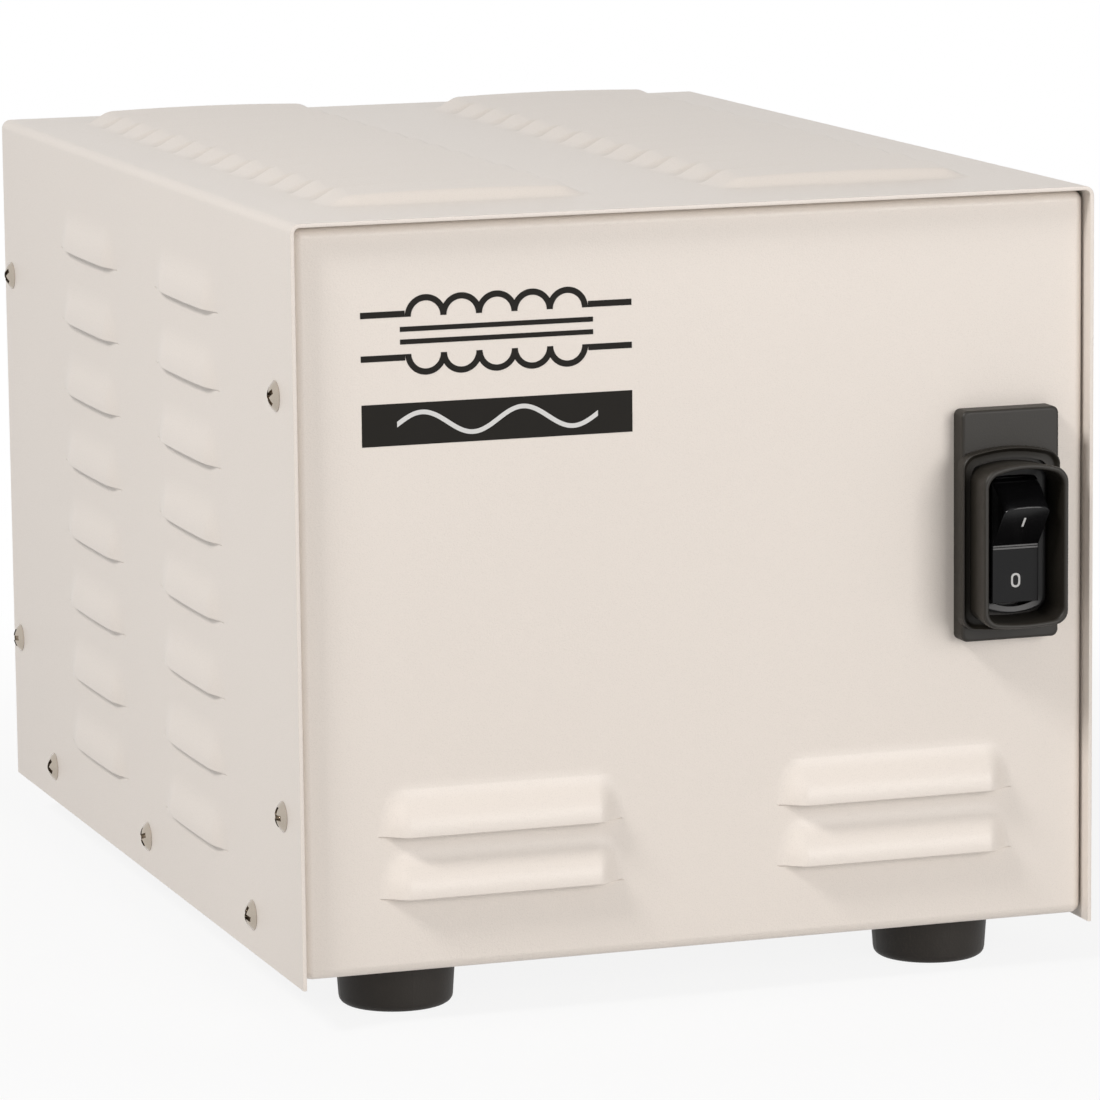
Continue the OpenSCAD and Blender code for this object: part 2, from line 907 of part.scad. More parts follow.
// Outline of the rocker in (y, z) with its two faces meeting in a valley
module rocker_outline(shrink) {
    long = rocker_face + rocker_back;
    intersection() {
        circle(rocker_sweep_r - shrink);
        polygon([[shrink - rocker_valley, 0],
            [shrink - rocker_valley - long * sin(half_travel), long * cos(half_travel)],
            [rocker_back + shrink, long * cos(half_travel)],
            [rocker_back + shrink, -long * cos(half_travel)],
            [shrink - rocker_valley - long * sin(half_travel), -long * cos(half_travel)]]);
    }
}

module rocker() {
    color([0.05, 0.05, 0.05])
        at_rocker()
            difference() {
                union() {
                    difference() {
                        sideways(rocker_w)
                            rocker_outline(0);
                        sideways(rocker_w - 2 * rocker_wall)
                            rocker_outline(rocker_wall);
                    }
                    sideways(rocker_w)
                        circle(rocker_hub_r);
                    translate([0, -rocker_valley / 2, 0])
                        rotate([-90, 0, 0])
                            cylinder(r = boss_r, h = boss_reach + rocker_valley / 2);
                }
                sideways(rocker_w + 2 * cut)
                    circle(pivot_r + pivot_fit);
                translate([0, spring_seat, 0])
                    rotate([-90, 0, 0])
                        cylinder(r = plunger_r + plunger_fit, h = boss_reach);
            }
}

module rocker_pin() {
    color([0.78, 0.78, 0.8])
        at_switch()
            translate([0, pivot_in, 0])
                sideways(bezel_w)
                    circle(pivot_r);
}

module plunger() {
    shoulder = spring_seat + spring_l;
    color([0.9, 0.88, 0.8])
        at_rocker()
            rotate([-90, 0, 0]) {
                translate([0, 0, shoulder])
                    cylinder(r = plunger_r, h = boss_reach - shoulder);
                translate([0, 0, shoulder])
                    cylinder(r = plunger_nose_r, h = plunger_reach - plunger_nose_r - shoulder);
                translate([0, 0, plunger_reach - plunger_nose_r])
                    sphere(plunger_nose_r);
            }
}

// Spring behind the plunger, drawn as the sleeve that its wire fills
module plunger_spring() {
    color([0.7, 0.7, 0.72])
        at_rocker()
            rotate([-90, 0, 0])
                translate([0, 0, spring_seat])
                    difference() {
                        cylinder(r = plunger_r, h = spring_l);
                        translate([0, 0, -cut])
                            cylinder(r = plunger_r / 2, h = spring_l + 2 * cut);
                    }
}

// Pivot of the contact arm, turned so that the contacts are open
module at_arm() {
    at_switch()
        translate([0, arm_y, 0])
            rotate([-arm_swing / 2, 0, 0])
                children();
}

module contact_arm() {
    color([0.72, 0.45, 0.28])
        at_arm()
            difference() {
                union() {
                    translate([-arm_w / 2, -arm_hub_r, -arm_down])
                        cube([arm_w, arm_t, arm_up + arm_down]);
                    sideways(arm_w)
                        circle(arm_hub_r);
                    translate([0, -arm_hub_r + arm_t, -contact_down])
                        rotate([-90, 0, 0])
                            cylinder(r = contact_r, h = contact_t);
                }
                sideways(arm_w + 2 * cut)
                    circle(arm_pin_r + pivot_fit);
            }
}

module arm_pin() {
    color([0.78, 0.78, 0.8])
        at_switch()
            translate([0, arm_y, 0])
                sideways(arm_w + 2 * (ear_gap + ear_t))
                    circle(arm_pin_r);
}

// Fork that carries the contact arm, with its blade out of the breaker's rear
module load_terminal() {
    web_y = breaker_depth - breaker_wall - face_fit - ear_t;
    fork_w = arm_w + 2 * (ear_gap + ear_t);
    color([0.8, 0.66, 0.36])
        at_switch()
            difference() {
                union() {
                    for (side = [0, 1])
                        mirror([side, 0, 0])
                            translate([arm_w / 2 + ear_gap, arm_y - arm_hub_r, -arm_hub_r])
                                cube([ear_t, web_y + ear_t - arm_y + arm_hub_r, 2 * arm_hub_r]);
                    translate([-fork_w / 2, web_y, -arm_hub_r])
                        cube([fork_w, ear_t, 2 * arm_hub_r]);
                    translate([-blade_w / 2, web_y, -terminal_t / 2])
                        cube([blade_w, breaker_depth + blade_out - web_y, terminal_t]);
                }
                translate([0, arm_y, 0])
                    sideways(fork_w + 2 * cut)
                        circle(arm_pin_r + thread_fit);
            }
}

// Fixed contact on its post, with its blade out of the breaker's rear
module line_terminal() {
    closed_y = arm_y + contact_down * sin(arm_swing / 2) + contact_t - arm_hub_r + arm_t;
    post_y = closed_y + contact_gap + contact_t;
    post_h = 2 * (contact_r + terminal_t);
    color([0.8, 0.66, 0.36])
        at_switch() {
            translate([0, closed_y + contact_gap, -contact_down])
                rotate([-90, 0, 0])
                    cylinder(r = contact_r, h = contact_t);
            translate([-blade_w / 2, post_y, -contact_down - post_h / 2])
                cube([blade_w, terminal_t, post_h]);
            translate([-blade_w / 2, post_y, -contact_down - terminal_t / 2])
                cube([blade_w, breaker_depth + blade_out - post_y, terminal_t]);
        }
}

module trip_coil() {
    color([0.7, 0.38, 0.2])
        at_switch()
            translate([0, breaker_depth - breaker_wall - face_fit, coil_up])
                rotate([90, 0, 0])
                    difference() {
                        cylinder(r = coil_r, h = coil_l);
                        translate([0, 0, -cut])
                            cylinder(r = coil_core_r + face_fit, h = coil_l + 2 * cut);
                    }
}

module trip_core() {
    color([0.5, 0.5, 0.52])
        at_switch()
            translate([0, breaker_depth - breaker_wall - face_fit, coil_up])
                rotate([90, 0, 0])
                    cylinder(r = coil_core_r, h = coil_l + cut);
}

// Middle of the core, on the base
module at_core() {
    translate([0, core_y, core_z])
        children();
}

// Every hole through the laminations, its axis along Y
module each_core_bolt() {
    for (x = [-1, 1], z = [core_bolt_inset, core_h - core_bolt_inset])
        translate([x * (lam_w / 2 - core_bolt_inset), 0, z])
            rotate([90, 0, 0])
                children();
}

// Every bolt that holds a bracket to the base, on the base's inner face
module each_mount_bolt() {
    for (x = [-1, 1], y = [-1, 1])
        translate([x * mount_bolt_x, core_y + y * (stack_t / 2 + mount_bolt_out), base_z + chassis_t])
            children();
}

module core_e_stack() {
    color([0.3, 0.3, 0.32])
        at_core()
            difference() {
                translate([-lam_w / 2, -stack_t / 2, 0])
                    cube([lam_w, stack_t, core_h - yoke_h]);
                for (x = [-1, 1])
                    translate([x * (limb_w + window_w) / 2 - window_w / 2, -stack_t / 2 - cut, yoke_h])
                        cube([window_w, stack_t + 2 * cut, window_h + cut]);
                each_core_bolt()
                    cylinder(r = core_bolt_r + bolt_fit, h = stack_t + 2 * cut, center = true);
            }
}

module core_i_stack() {
    color([0.34, 0.34, 0.36])
        at_core()
            difference() {
                translate([-lam_w / 2, -stack_t / 2, core_h - yoke_h])
                    cube([lam_w, stack_t, yoke_h]);
                each_core_bolt()
                    cylinder(r = core_bolt_r + bolt_fit, h = stack_t + 2 * cut, center = true);
            }
}

// Rounded ring round the middle limb, from one distance off the limb to another
module coil_ring(inner, outer, height) {
    linear_extrude(height)
        difference() {
            rounded_rect(limb_w + 2 * outer, stack_t + 2 * outer, outer);
            rounded_rect(limb_w + 2 * inner, stack_t + 2 * inner, inner);
        }
}

module bobbin() {
    flange_out = window_w - window_fit;
    color([0.88, 0.86, 0.78])
        translate([0, core_y, coil_z]) {
            difference() {
                union() {
                    translate([0, 0, -bobbin_flange_t])
                        linear_extrude(coil_height + 2 * bobbin_flange_t)
                            rounded_rect(limb_w + 2 * tube_out, stack_t + 2 * tube_out, tube_out);
                    for (z = [-bobbin_flange_t, coil_height])
                        translate([0, 0, z])
                            linear_extrude(bobbin_flange_t)
                                rounded_rect(limb_w + 2 * flange_out, stack_t + 2 * flange_out, bobbin_r);
                }
                translate([0, 0, -bobbin_flange_t - cut])
                    linear_extrude(coil_height + 2 * bobbin_flange_t + 2 * cut)
                        square([limb_w + 2 * bobbin_fit, stack_t + 2 * bobbin_fit], center = true);
            }
        }
}

module primary_winding() {
    color([0.6, 0.3, 0.16])
        translate([0, core_y, coil_z + coil_gap])
            coil_ring(primary_in, primary_in + primary_t, coil_height - 2 * coil_gap);
}

module earth_screen() {
    color([0.8, 0.5, 0.3])
        translate([0, core_y, coil_z + coil_gap])
            coil_ring(screen_in, screen_in + screen_t, coil_height - 2 * coil_gap);
}

module secondary_winding() {
    color([0.66, 0.35, 0.18])
        translate([0, core_y, coil_z + coil_gap])
            coil_ring(secondary_in, secondary_in + secondary_t, coil_height - 2 * coil_gap);
}

module winding_wrap() {
    color([0.9, 0.8, 0.4])
        translate([0, core_y, coil_z + coil_gap])
            coil_ring(wrap_in, wrap_in + wrap_t, coil_height - 2 * coil_gap);
}

// Steel angle against the core's lower yoke, with its foot on the base
module bracket(side) {
    color([0.55, 0.55, 0.5])
        at_core()
            difference() {
                mirror([0, side > 0 ? 0 : 1, 0])
                    translate([-lam_w / 2, stack_t / 2, 0]) {
                        cube([lam_w, bracket_t, bracket_leg]);
                        cube([lam_w, bracket_foot, bracket_t]);
                    }
                each_core_bolt()
                    cylinder(r = core_bolt_r + bolt_fit, h = stack_t + 2 * bracket_foot, center = true);
                translate([0, -core_y, -core_z])
                    each_mount_bolt()
                        translate([0, 0, -cut])
                            cylinder(r = mount_bolt_r + hole_fit, h = bracket_t + 2 * cut);
            }
}

// Flat bar against the core's upper yoke
module clamp_bar(side) {
    color([0.55, 0.55, 0.5])
        at_core()
            difference() {
                mirror([0, side > 0 ? 0 : 1, 0])
                    translate([-lam_w / 2, stack_t / 2, core_h - bracket_leg])
                        cube([lam_w, bracket_t, bracket_leg]);
                each_core_bolt()
                    cylinder(r = core_bolt_r + bolt_fit, h = stack_t + 2 * bracket_foot, center = true);
            }
}

module core_bolts() {
    grip = stack_t + 2 * bracket_t;
    color([0.66, 0.66, 0.64])
        at_core()
            each_core_bolt()
                translate([0, 0, grip / 2])
                    hex_bolt(bolt_head_r, bolt_head_h, core_bolt_r, grip + bolt_head_h + thread_over);
}

module core_nuts() {
    color([0.66, 0.66, 0.64])
        at_core()
            each_core_bolt()
                translate([0, 0, -stack_t / 2 - bracket_t - bolt_head_h])
                    hex_nut(bolt_head_r, bolt_head_h, core_bolt_r + thread_fit);
}

// Bolts up through the base and the brackets' feet
module mount_bolts() {
    color([0.66, 0.66, 0.64])
        each_mount_bolt()
            translate([0, 0, -chassis_t])
                mirror([0, 0, 1])
                    hex_bolt(bolt_head_r, bolt_head_h - thread_over, mount_bolt_r,
                        chassis_t + bracket_t + bolt_head_h + thread_over);
}

module mount_nuts() {
    color([0.66, 0.66, 0.64])
        each_mount_bolt()
            translate([0, 0, bracket_t])
                hex_nut(bolt_head_r, bolt_head_h, mount_bolt_r + thread_fit);
}

// Both of an outlet's faces, at their heights
module each_face() {
    for (z = [-1, 1])
        translate([0, 0, z * outlet_face_up])
            children();
}

// Every contact's place in a face: neutral, hot and earth, with the height of its slot
module each_slot() {
    for (z = [-1, 1], x = [-1, 1])
        translate([x * outlet_slot_x, 0, z * outlet_face_up + outlet_slot_up])
            children();
}

module outlet_body() {
    pocket_y = outlet_proud - outlet_slot_depth - pocket_depth;
    difference() {
        union() {
            translate([0, -chassis_t - face_fit - outlet_body_d, 0])
                upright(outlet_body_d)
                    square([outlet_body_w, outlet_body_h], center = true);
            each_face()
                translate([0, -chassis_t - cut, 0])
                    upright(chassis_t + cut + outlet_proud)
                        outlet_face(0);
        }
        for (z = [-1, 1], x = [-1, 1])
            translate([x * outlet_slot_x, outlet_proud - outlet_slot_depth - cut,
                    z * outlet_face_up + outlet_slot_up])
                upright(outlet_slot_depth + 2 * cut)
                    square([outlet_slot_w, x > 0 ? neutral_slot_h : hot_slot_h], center = true);
        each_slot()
            translate([0, pocket_y, 0])
                upright(pocket_depth)
                    square([pocket_w, pocket_h], center = true);
        for (z = [-1, 1])
            translate([0, outlet_proud + cut, z * outlet_face_up + earth_hole_up])
                rotate([90, 0, 0])
                    cylinder(r = earth_hole_r, h = outlet_slot_depth + pocket_depth + cut);
    }
}

module outlet(column) {
    color([0.16, 0.16, 0.17])
        at_outlet(column)
            outlet_body();
}

// Steel strap round the back of an outlet, with an ear at each end against the panel
module outlet_strap(column) {
    leg_z = outlet_body_h / 2 + face_fit;
    back_y = -chassis_t - 2 * face_fit - outlet_body_d;
    color([0.72, 0.72, 0.7])
        at_outlet(column)
            difference() {
                union() {
                    for (side = [0, 1])
                        mirror([0, 0, side]) {
                            translate([-strap_ear_w / 2, -chassis_t - strap_t, leg_z])
                                cube([strap_ear_w, strap_t, strap_h / 2 - leg_z]);
                            translate([-strap_back_w / 2, back_y - strap_t, leg_z])
                                cube([strap_back_w, -chassis_t - back_y + strap_t, strap_t]);
                        }
                    translate([-strap_back_w / 2, back_y - strap_t, -leg_z - strap_t])
                        cube([strap_back_w, strap_t, 2 * (leg_z + strap_t)]);
                }
                for (z = [-1, 1])
                    translate([0, 0, z * outlet_screw_up])
                        rotate([90, 0, 0])
                            cylinder(r = screw_r + thread_fit, h = chassis_t + strap_t + cut);
            }
}

// Spring contacts behind the slots
module outlet_contacts() {
    contact_y = outlet_proud - outlet_slot_depth - pocket_depth + face_fit;
    color([0.8, 0.66, 0.36])
        for (column = [-1 : 1])
            at_outlet(column) {
                each_slot()
                    translate([0, contact_y, 0])
                        upright(pocket_depth - 2 * face_fit)
                            difference() {
                                square([pocket_w - 2 * face_fit, pocket_h - 2 * face_fit], center = true);
                                square([outlet_slot_w, neutral_slot_h], center = true);
                            }
                for (z = [-1, 1])
                    translate([0, contact_y + pocket_depth, z * outlet_face_up + earth_hole_up])
                        rotate([90, 0, 0])
                            difference() {
                                cylinder(r = earth_hole_r - face_fit / 2, h = pocket_depth - 2 * face_fit);
                                translate([0, 0, -cut])
                                    cylinder(r = earth_hole_r - contact_wall, h = pocket_depth + 2 * cut);
                            }
            }
}

module outlet_screws() {
    color([0.75, 0.74, 0.72])
        for (column = [-1 : 1], z = [-1, 1])
            at_outlet(column)
                translate([0, 0, z * outlet_screw_up])
                    rotate([-90, 0, 0])
                        pan_screw(screw_head_r, screw_head_h, screw_r, screw_l);
}

module gland_body() {
    color([0.14, 0.14, 0.15])
        at_gland()
            rotate([-90, 0, 0])
                difference() {
                    union() {
                        translate([0, 0, -chassis_t - gland_inner_l])
                            cylinder(d = gland_thread_d, h = chassis_t + gland_inner_l + cut);
                        cylinder(r = gland_hex_r, h = gland_flange_t, $fn = 6);
                        cylinder(d = gland_thread_d, h = gland_reach - gland_cap_lip - seat_fit);
                    }
                    translate([0, 0, -chassis_t - gland_inner_l - cut])
                        cylinder(r = gland_bore_d / 2 + hole_fit,
                            h = gland_reach + gland_inner_l + 2 * cut);
                    translate([0, 0, gland_reach - gland_cap_lip - gland_seal_l - seat_fit])
                        cylinder(r = gland_body_bore_r, h = gland_seal_l + cut);
                }
}

module gland_locknut() {
    color([0.14, 0.14, 0.15])
        at_gland()
            rotate([-90, 0, 0])
                translate([0, 0, -chassis_t - gland_nut_t])
                    hex_nut(gland_hex_r, gland_nut_t, gland_thread_d / 2 + thread_fit);
}

module gland_seal() {
    color([0.1, 0.1, 0.1])
        at_gland()
            rotate([-90, 0, 0])
                translate([0, 0, gland_reach - gland_cap_lip - gland_seal_l - seat_fit])
                    difference() {
                        cylinder(r = gland_seal_r, h = gland_seal_l);
                        translate([0, 0, -cut])
                            cylinder(d = gland_bore_d, h = gland_seal_l + 2 * cut);
                    }
}

// Cap nut that presses the seal, its mouth a little wider than the seal's bore
module gland_cap() {
    inner_h = gland_reach - gland_flange_t - gland_cap_lip;
    cap_h = inner_h + gland_cap_lip - seat_fit;
    color([0.14, 0.14, 0.15])
        at_gland()
            rotate([-90, 0, 0])
                translate([0, 0, gland_flange_t + seat_fit])
                    difference() {
                        union() {
                            cylinder(r = gland_cap_r, h = cap_h - gland_cap_bevel);
                            translate([0, 0, cap_h - gland_cap_bevel])
                                cylinder(r1 = gland_cap_r, r2 = gland_cap_r - gland_cap_bevel,
                                    h = gland_cap_bevel);
                        }
                        translate([0, 0, -cut])
                            cylinder(r = gland_thread_d / 2 + thread_fit, h = inner_h - seat_fit + cut);
                        cylinder(d = gland_bore_d + 2 * hole_fit, h = gland_reach);
                    }
}

// Stud for the ground leads, headed under the base
module ground_stud() {
    color([0.8, 0.66, 0.36])
        translate([stud_x, stud_y, base_z]) {
            mirror([0, 0, 1])
                cylinder(r = nut_r, h = stud_head_h, $fn = 6);
            cylinder(r = stud_r, h = stud_l);
        }
}

module ground_nuts() {
    color([0.8, 0.66, 0.36])
        translate([stud_x, stud_y, base_z + chassis_t])
            for (i = [0, 1])
                translate([0, 0, i * (nut_h + 2 * ring_t)])
                    hex_nut(nut_r, nut_h, stud_r + thread_fit);
}

// Every way of the terminal block, in a row along X
module each_way() {
    for (i = [-1 : 1])
        translate([i * block_pitch, 0, 0])
            children();
}

module at_block() {
    translate([block_x, block_y, base_z + chassis_t])
        children();
}

module terminal_block() {
    color([0.9, 0.9, 0.86])
        at_block()
            difference() {
                translate([-block_w / 2, -block_d / 2, 0])
                    cube([block_w, block_d, block_h]);
                each_way() {
                    translate([0, 0, way_up])
                        rotate([90, 0, 0])
                            cylinder(r = block_hole_r, h = block_d + 2 * cut, center = true);
                    translate([0, 0, way_up])
                        cylinder(r = block_screw_r + thread_fit, h = block_h);
                }
            }
}

module terminal_screws() {
    screw_depth = block_h - way_up - lead_r - face_fit;
    color([0.8, 0.66, 0.36])
        at_block()
            each_way()
                translate([0, 0, block_h]) {
                    cylinder(r = block_screw_head_r, h = block_screw_head_h);
                    translate([0, 0, -screw_depth])
                        cylinder(r = block_screw_r, h = screw_depth + block_screw_head_h);
                }
}

// A lead along straight runs, with a round elbow at each corner
module lead(path, r = lead_r, bend = lead_bend) {
    last = len(path) - 1;
    for (i = [0 : last - 1]) {
        run = path[i + 1] - path[i];
        dir = run / norm(run);
        start = path[i] + (i > 0 ? bend : 0) * dir;
        stop = path[i + 1] - (i < last - 1 ? bend : 0) * dir;
        place_z(start, dir)
            cylinder(r = r, h = norm(stop - start));
    }
    for (i = [1 : last - 1]) {
        into = (path[i] - path[i - 1]) / norm(path[i] - path[i - 1]);
        out = (path[i + 1] - path[i]) / norm(path[i + 1] - path[i]);
        centre = path[i] - bend * into + bend * out;
        side = cross(-out, into);
        multmatrix([[-out.x, into.x, side.x, centre.x],
                    [-out.y, into.y, side.y, centre.y],
                    [-out.z, into.z, side.z, centre.z]])
            rotate_extrude(angle = 90)
                translate([bend, 0])
                    circle(r);
    }
}

// Puts Z along a direction that lies on one of the axes
module place_z(at, dir) {
    turn = abs(dir.x) > abs(dir.y) + abs(dir.z) ? [0, dir.x * 90, 0] :
        abs(dir.y) > abs(dir.z) ? [-dir.y * 90, 0, 0] :
        [dir.z > 0 ? 0 : 180, 0, 0];
    translate(at)
        rotate(turn)
            children();
}

// From the terminal block to the breaker, from the breaker to the primary, and back to the block
module supply_leads() {
    color([0.12, 0.12, 0.13]) {
        lead([[block_x - block_pitch, block_y, way_z],
            [block_x - block_pitch, turn_y, way_z],
            [-corridor_x, turn_y, way_z],
            [-corridor_x, front_turn_y, way_z],
            [switch_x, front_turn_y, way_z],
            [switch_x, front_turn_y, pivot_z - contact_down],
            [switch_x, blade_end_y, pivot_z - contact_down]]);
        lead([[switch_x, blade_end_y, pivot_z],
            [switch_x, front_turn_y, pivot_z],
            [primary_tap_x, front_turn_y, pivot_z],
            [primary_tap_x, coil_front_y, pivot_z]]);
        lead([[block_x, block_y, way_z],
            [block_x, turn_y, way_z],
            [block_x, turn_y, tap_z],
            [-primary_tap_x, turn_y, tap_z],
            [-primary_tap_x, coil_rear_y, tap_z]]);
    }
}

// From the secondary to the outlets, two to each
module output_leads() {
    outlet_rear_y = rear_y - chassis_t - face_fit - outlet_body_d;
    middle_y = (coil_rear_y + outlet_rear_y) / 2;
    top_z = coil_z + coil_height - lead_step;
    color([0.75, 0.74, 0.7])
        for (column = [-1 : 1], side = [-1, 1]) {
            z = top_z - lead_step * (2 * (column + 1) + (side + 1) / 2);
            lead([[column * tap_pitch + side * tap_x, coil_rear_y, z],
                [column * tap_pitch + side * tap_x, middle_y, z],
                [column * outlet_pitch + side * outlet_tap_x, middle_y, z],
                [column * outlet_pitch + side * outlet_tap_x, outlet_rear_y, z]]);
        }
}

// Flat ring on the stud with a tongue along -Y
module ring_terminal() {
    difference() {
        union() {
            cylinder(r = ring_r, h = ring_t);
            translate([-ring_tongue_w / 2, -ring_tongue, 0])
                cube([ring_tongue_w, ring_tongue, ring_t]);
        }
        translate([0, 0, -cut])
            cylinder(r = stud_r + hole_fit, h = ring_t + 2 * cut);
    }
}

// From the terminal block to the ground stud, and on to the middle outlet's strap
module ground_lead() {
    strap_back_y = rear_y - chassis_t - 2 * face_fit - outlet_body_d - strap_t;
    ring_z = base_z + chassis_t + nut_h;
    high_z = cover_z0 + outlet_up - outlet_face_up;
    color([0.2, 0.45, 0.25]) {
        lead([[block_x + block_pitch, block_y, way_z],
            [block_x + block_pitch, turn_y, way_z],
            [stud_x, turn_y, way_z],
            [stud_x, stud_y - ring_tongue, way_z]]);
        translate([stud_x, stud_y, ring_z])
            ring_terminal();
        lead([[stud_x - ring_tongue, stud_y, way_z + ring_t],
            [0, stud_y, way_z + ring_t],
            [0, stud_y, high_z],
            [0, strap_back_y, high_z]]);
        translate([stud_x, stud_y, ring_z + ring_t])
            rotate([0, 0, -90])
                ring_terminal();
    }
}

cover();
chassis();
cover_screws();
foot_at(-1, -1);  // foot_front_left
foot_at(1, -1);  // foot_front_right
foot_at(-1, 1);  // foot_rear_left
foot_at(1, 1);  // foot_rear_right
foot_screws();
foot_washers();
foot_nuts();
switch_guard();
breaker_bezel();
breaker_half(-1);  // breaker_case_left
breaker_half(1);  // breaker_case_right
breaker_rivets();
breaker_clips();
rocker();
rocker_pin();
plunger();
plunger_spring();
contact_arm();
arm_pin();
load_terminal();
line_terminal();
trip_coil();
trip_core();
core_e_stack();
core_i_stack();
bobbin();
primary_winding();
earth_screen();
secondary_winding();
winding_wrap();
bracket(-1);  // bracket_front
bracket(1);  // bracket_rear
clamp_bar(-1);  // clamp_front
clamp_bar(1);  // clamp_rear
core_bolts();
core_nuts();
mount_bolts();
mount_nuts();
outlet(-1);  // outlet_left
outlet(0);  // outlet_middle
outlet(1);  // outlet_right
outlet_strap(-1);  // outlet_strap_left
outlet_strap(0);  // outlet_strap_middle
outlet_strap(1);  // outlet_strap_right
outlet_contacts();
outlet_screws();
gland_body();
gland_locknut();
gland_seal();
gland_cap();
ground_stud();
ground_nuts();
terminal_block();
terminal_screws();
supply_leads();
output_leads();
ground_lead();
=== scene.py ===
# Isolation transformer in a folded, powder coated case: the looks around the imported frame
import math

import bmesh
import bpy
from mathutils import Matrix, Vector


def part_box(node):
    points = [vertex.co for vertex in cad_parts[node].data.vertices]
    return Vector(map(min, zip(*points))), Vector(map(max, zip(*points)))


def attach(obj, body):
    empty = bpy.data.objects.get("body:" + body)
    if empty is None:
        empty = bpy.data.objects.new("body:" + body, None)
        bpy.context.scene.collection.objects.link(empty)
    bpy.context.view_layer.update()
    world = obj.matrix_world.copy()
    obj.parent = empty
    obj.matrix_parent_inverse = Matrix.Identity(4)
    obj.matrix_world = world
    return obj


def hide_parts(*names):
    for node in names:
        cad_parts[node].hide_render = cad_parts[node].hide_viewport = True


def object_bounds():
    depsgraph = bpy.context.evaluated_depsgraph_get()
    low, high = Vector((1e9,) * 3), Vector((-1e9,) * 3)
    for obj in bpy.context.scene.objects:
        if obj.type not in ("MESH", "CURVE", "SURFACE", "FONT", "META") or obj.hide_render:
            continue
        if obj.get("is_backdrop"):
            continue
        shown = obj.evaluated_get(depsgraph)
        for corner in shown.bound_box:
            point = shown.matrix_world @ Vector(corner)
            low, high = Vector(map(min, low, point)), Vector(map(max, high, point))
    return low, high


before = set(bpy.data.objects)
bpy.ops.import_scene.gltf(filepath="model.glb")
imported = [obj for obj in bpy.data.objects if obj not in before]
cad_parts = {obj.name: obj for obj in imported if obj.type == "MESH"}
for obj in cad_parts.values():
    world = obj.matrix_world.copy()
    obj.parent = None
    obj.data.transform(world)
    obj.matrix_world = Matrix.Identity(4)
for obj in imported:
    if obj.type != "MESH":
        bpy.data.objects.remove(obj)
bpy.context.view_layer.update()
mm = 0.001

# Camera at the photograph's viewing angle. It looks at a cube as wide as the case, set against the
# cover's front and bottom edges, through a long lens.
case_w = 203.2 * mm
cover_low, cover_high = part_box("cover")
case_front, case_rear, case_bottom = cover_low.y, cover_high.y, cover_low.z
azimuth, elevation, roll = (math.radians(a) for a in (-18.75, 9.47, -0.61))
distance, shift_right, shift_up = 7.666 * case_w, -0.019 * case_w, -0.086 * case_w
photo_focal_px, photo_px, sensor_mm = 6112.8, 1100, 36

back = Vector((math.sin(azimuth) * math.cos(elevation), -math.cos(azimuth) * math.cos(elevation),
               math.sin(elevation)))
level_right = (-back).cross(Vector((0, 0, 1))).normalized()
level_up = level_right.cross(-back)
right = level_right * math.cos(roll) + level_up * math.sin(roll)
up = level_up * math.cos(roll) - level_right * math.sin(roll)
aim = Vector((0, case_front + case_w / 2, case_bottom + case_w / 2))
camera_data = bpy.data.cameras.new("camera")
camera_data.sensor_width = sensor_mm
camera_data.lens = photo_focal_px / photo_px * sensor_mm
camera = bpy.data.objects.new("camera", camera_data)
bpy.context.scene.collection.objects.link(camera)
turn = Matrix((right, up, back)).transposed().to_4x4()
camera.matrix_world = Matrix.Translation(aim + back * distance + right * shift_right + up * shift_up) @ turn
bpy.context.scene.camera = camera
bpy.context.scene.view_settings.view_transform = "Standard"


# Floor and soft studio light. The floor and the world look white to the camera and in reflections,
# and two large lamps light the object: one over the front and one high on the left.
class Value:
    """A shader socket on which sums and products add Math nodes."""

    def __init__(self, tree, socket):
        self.tree, self.socket = tree, socket

    def math(self, operation, *others):
        node = self.tree.nodes.new("ShaderNodeMath")
        node.operation = operation
        for place, term in enumerate([self, *others]):
            if isinstance(term, Value):
                self.tree.links.new(term.socket, node.inputs[place])
            else:
                node.inputs[place].default_value = term
        return Value(self.tree, node.outputs[0])

    def __add__(self, other):
        return self.math("ADD", other)

    def __mul__(self, other):
        return self.math("MULTIPLY", other)


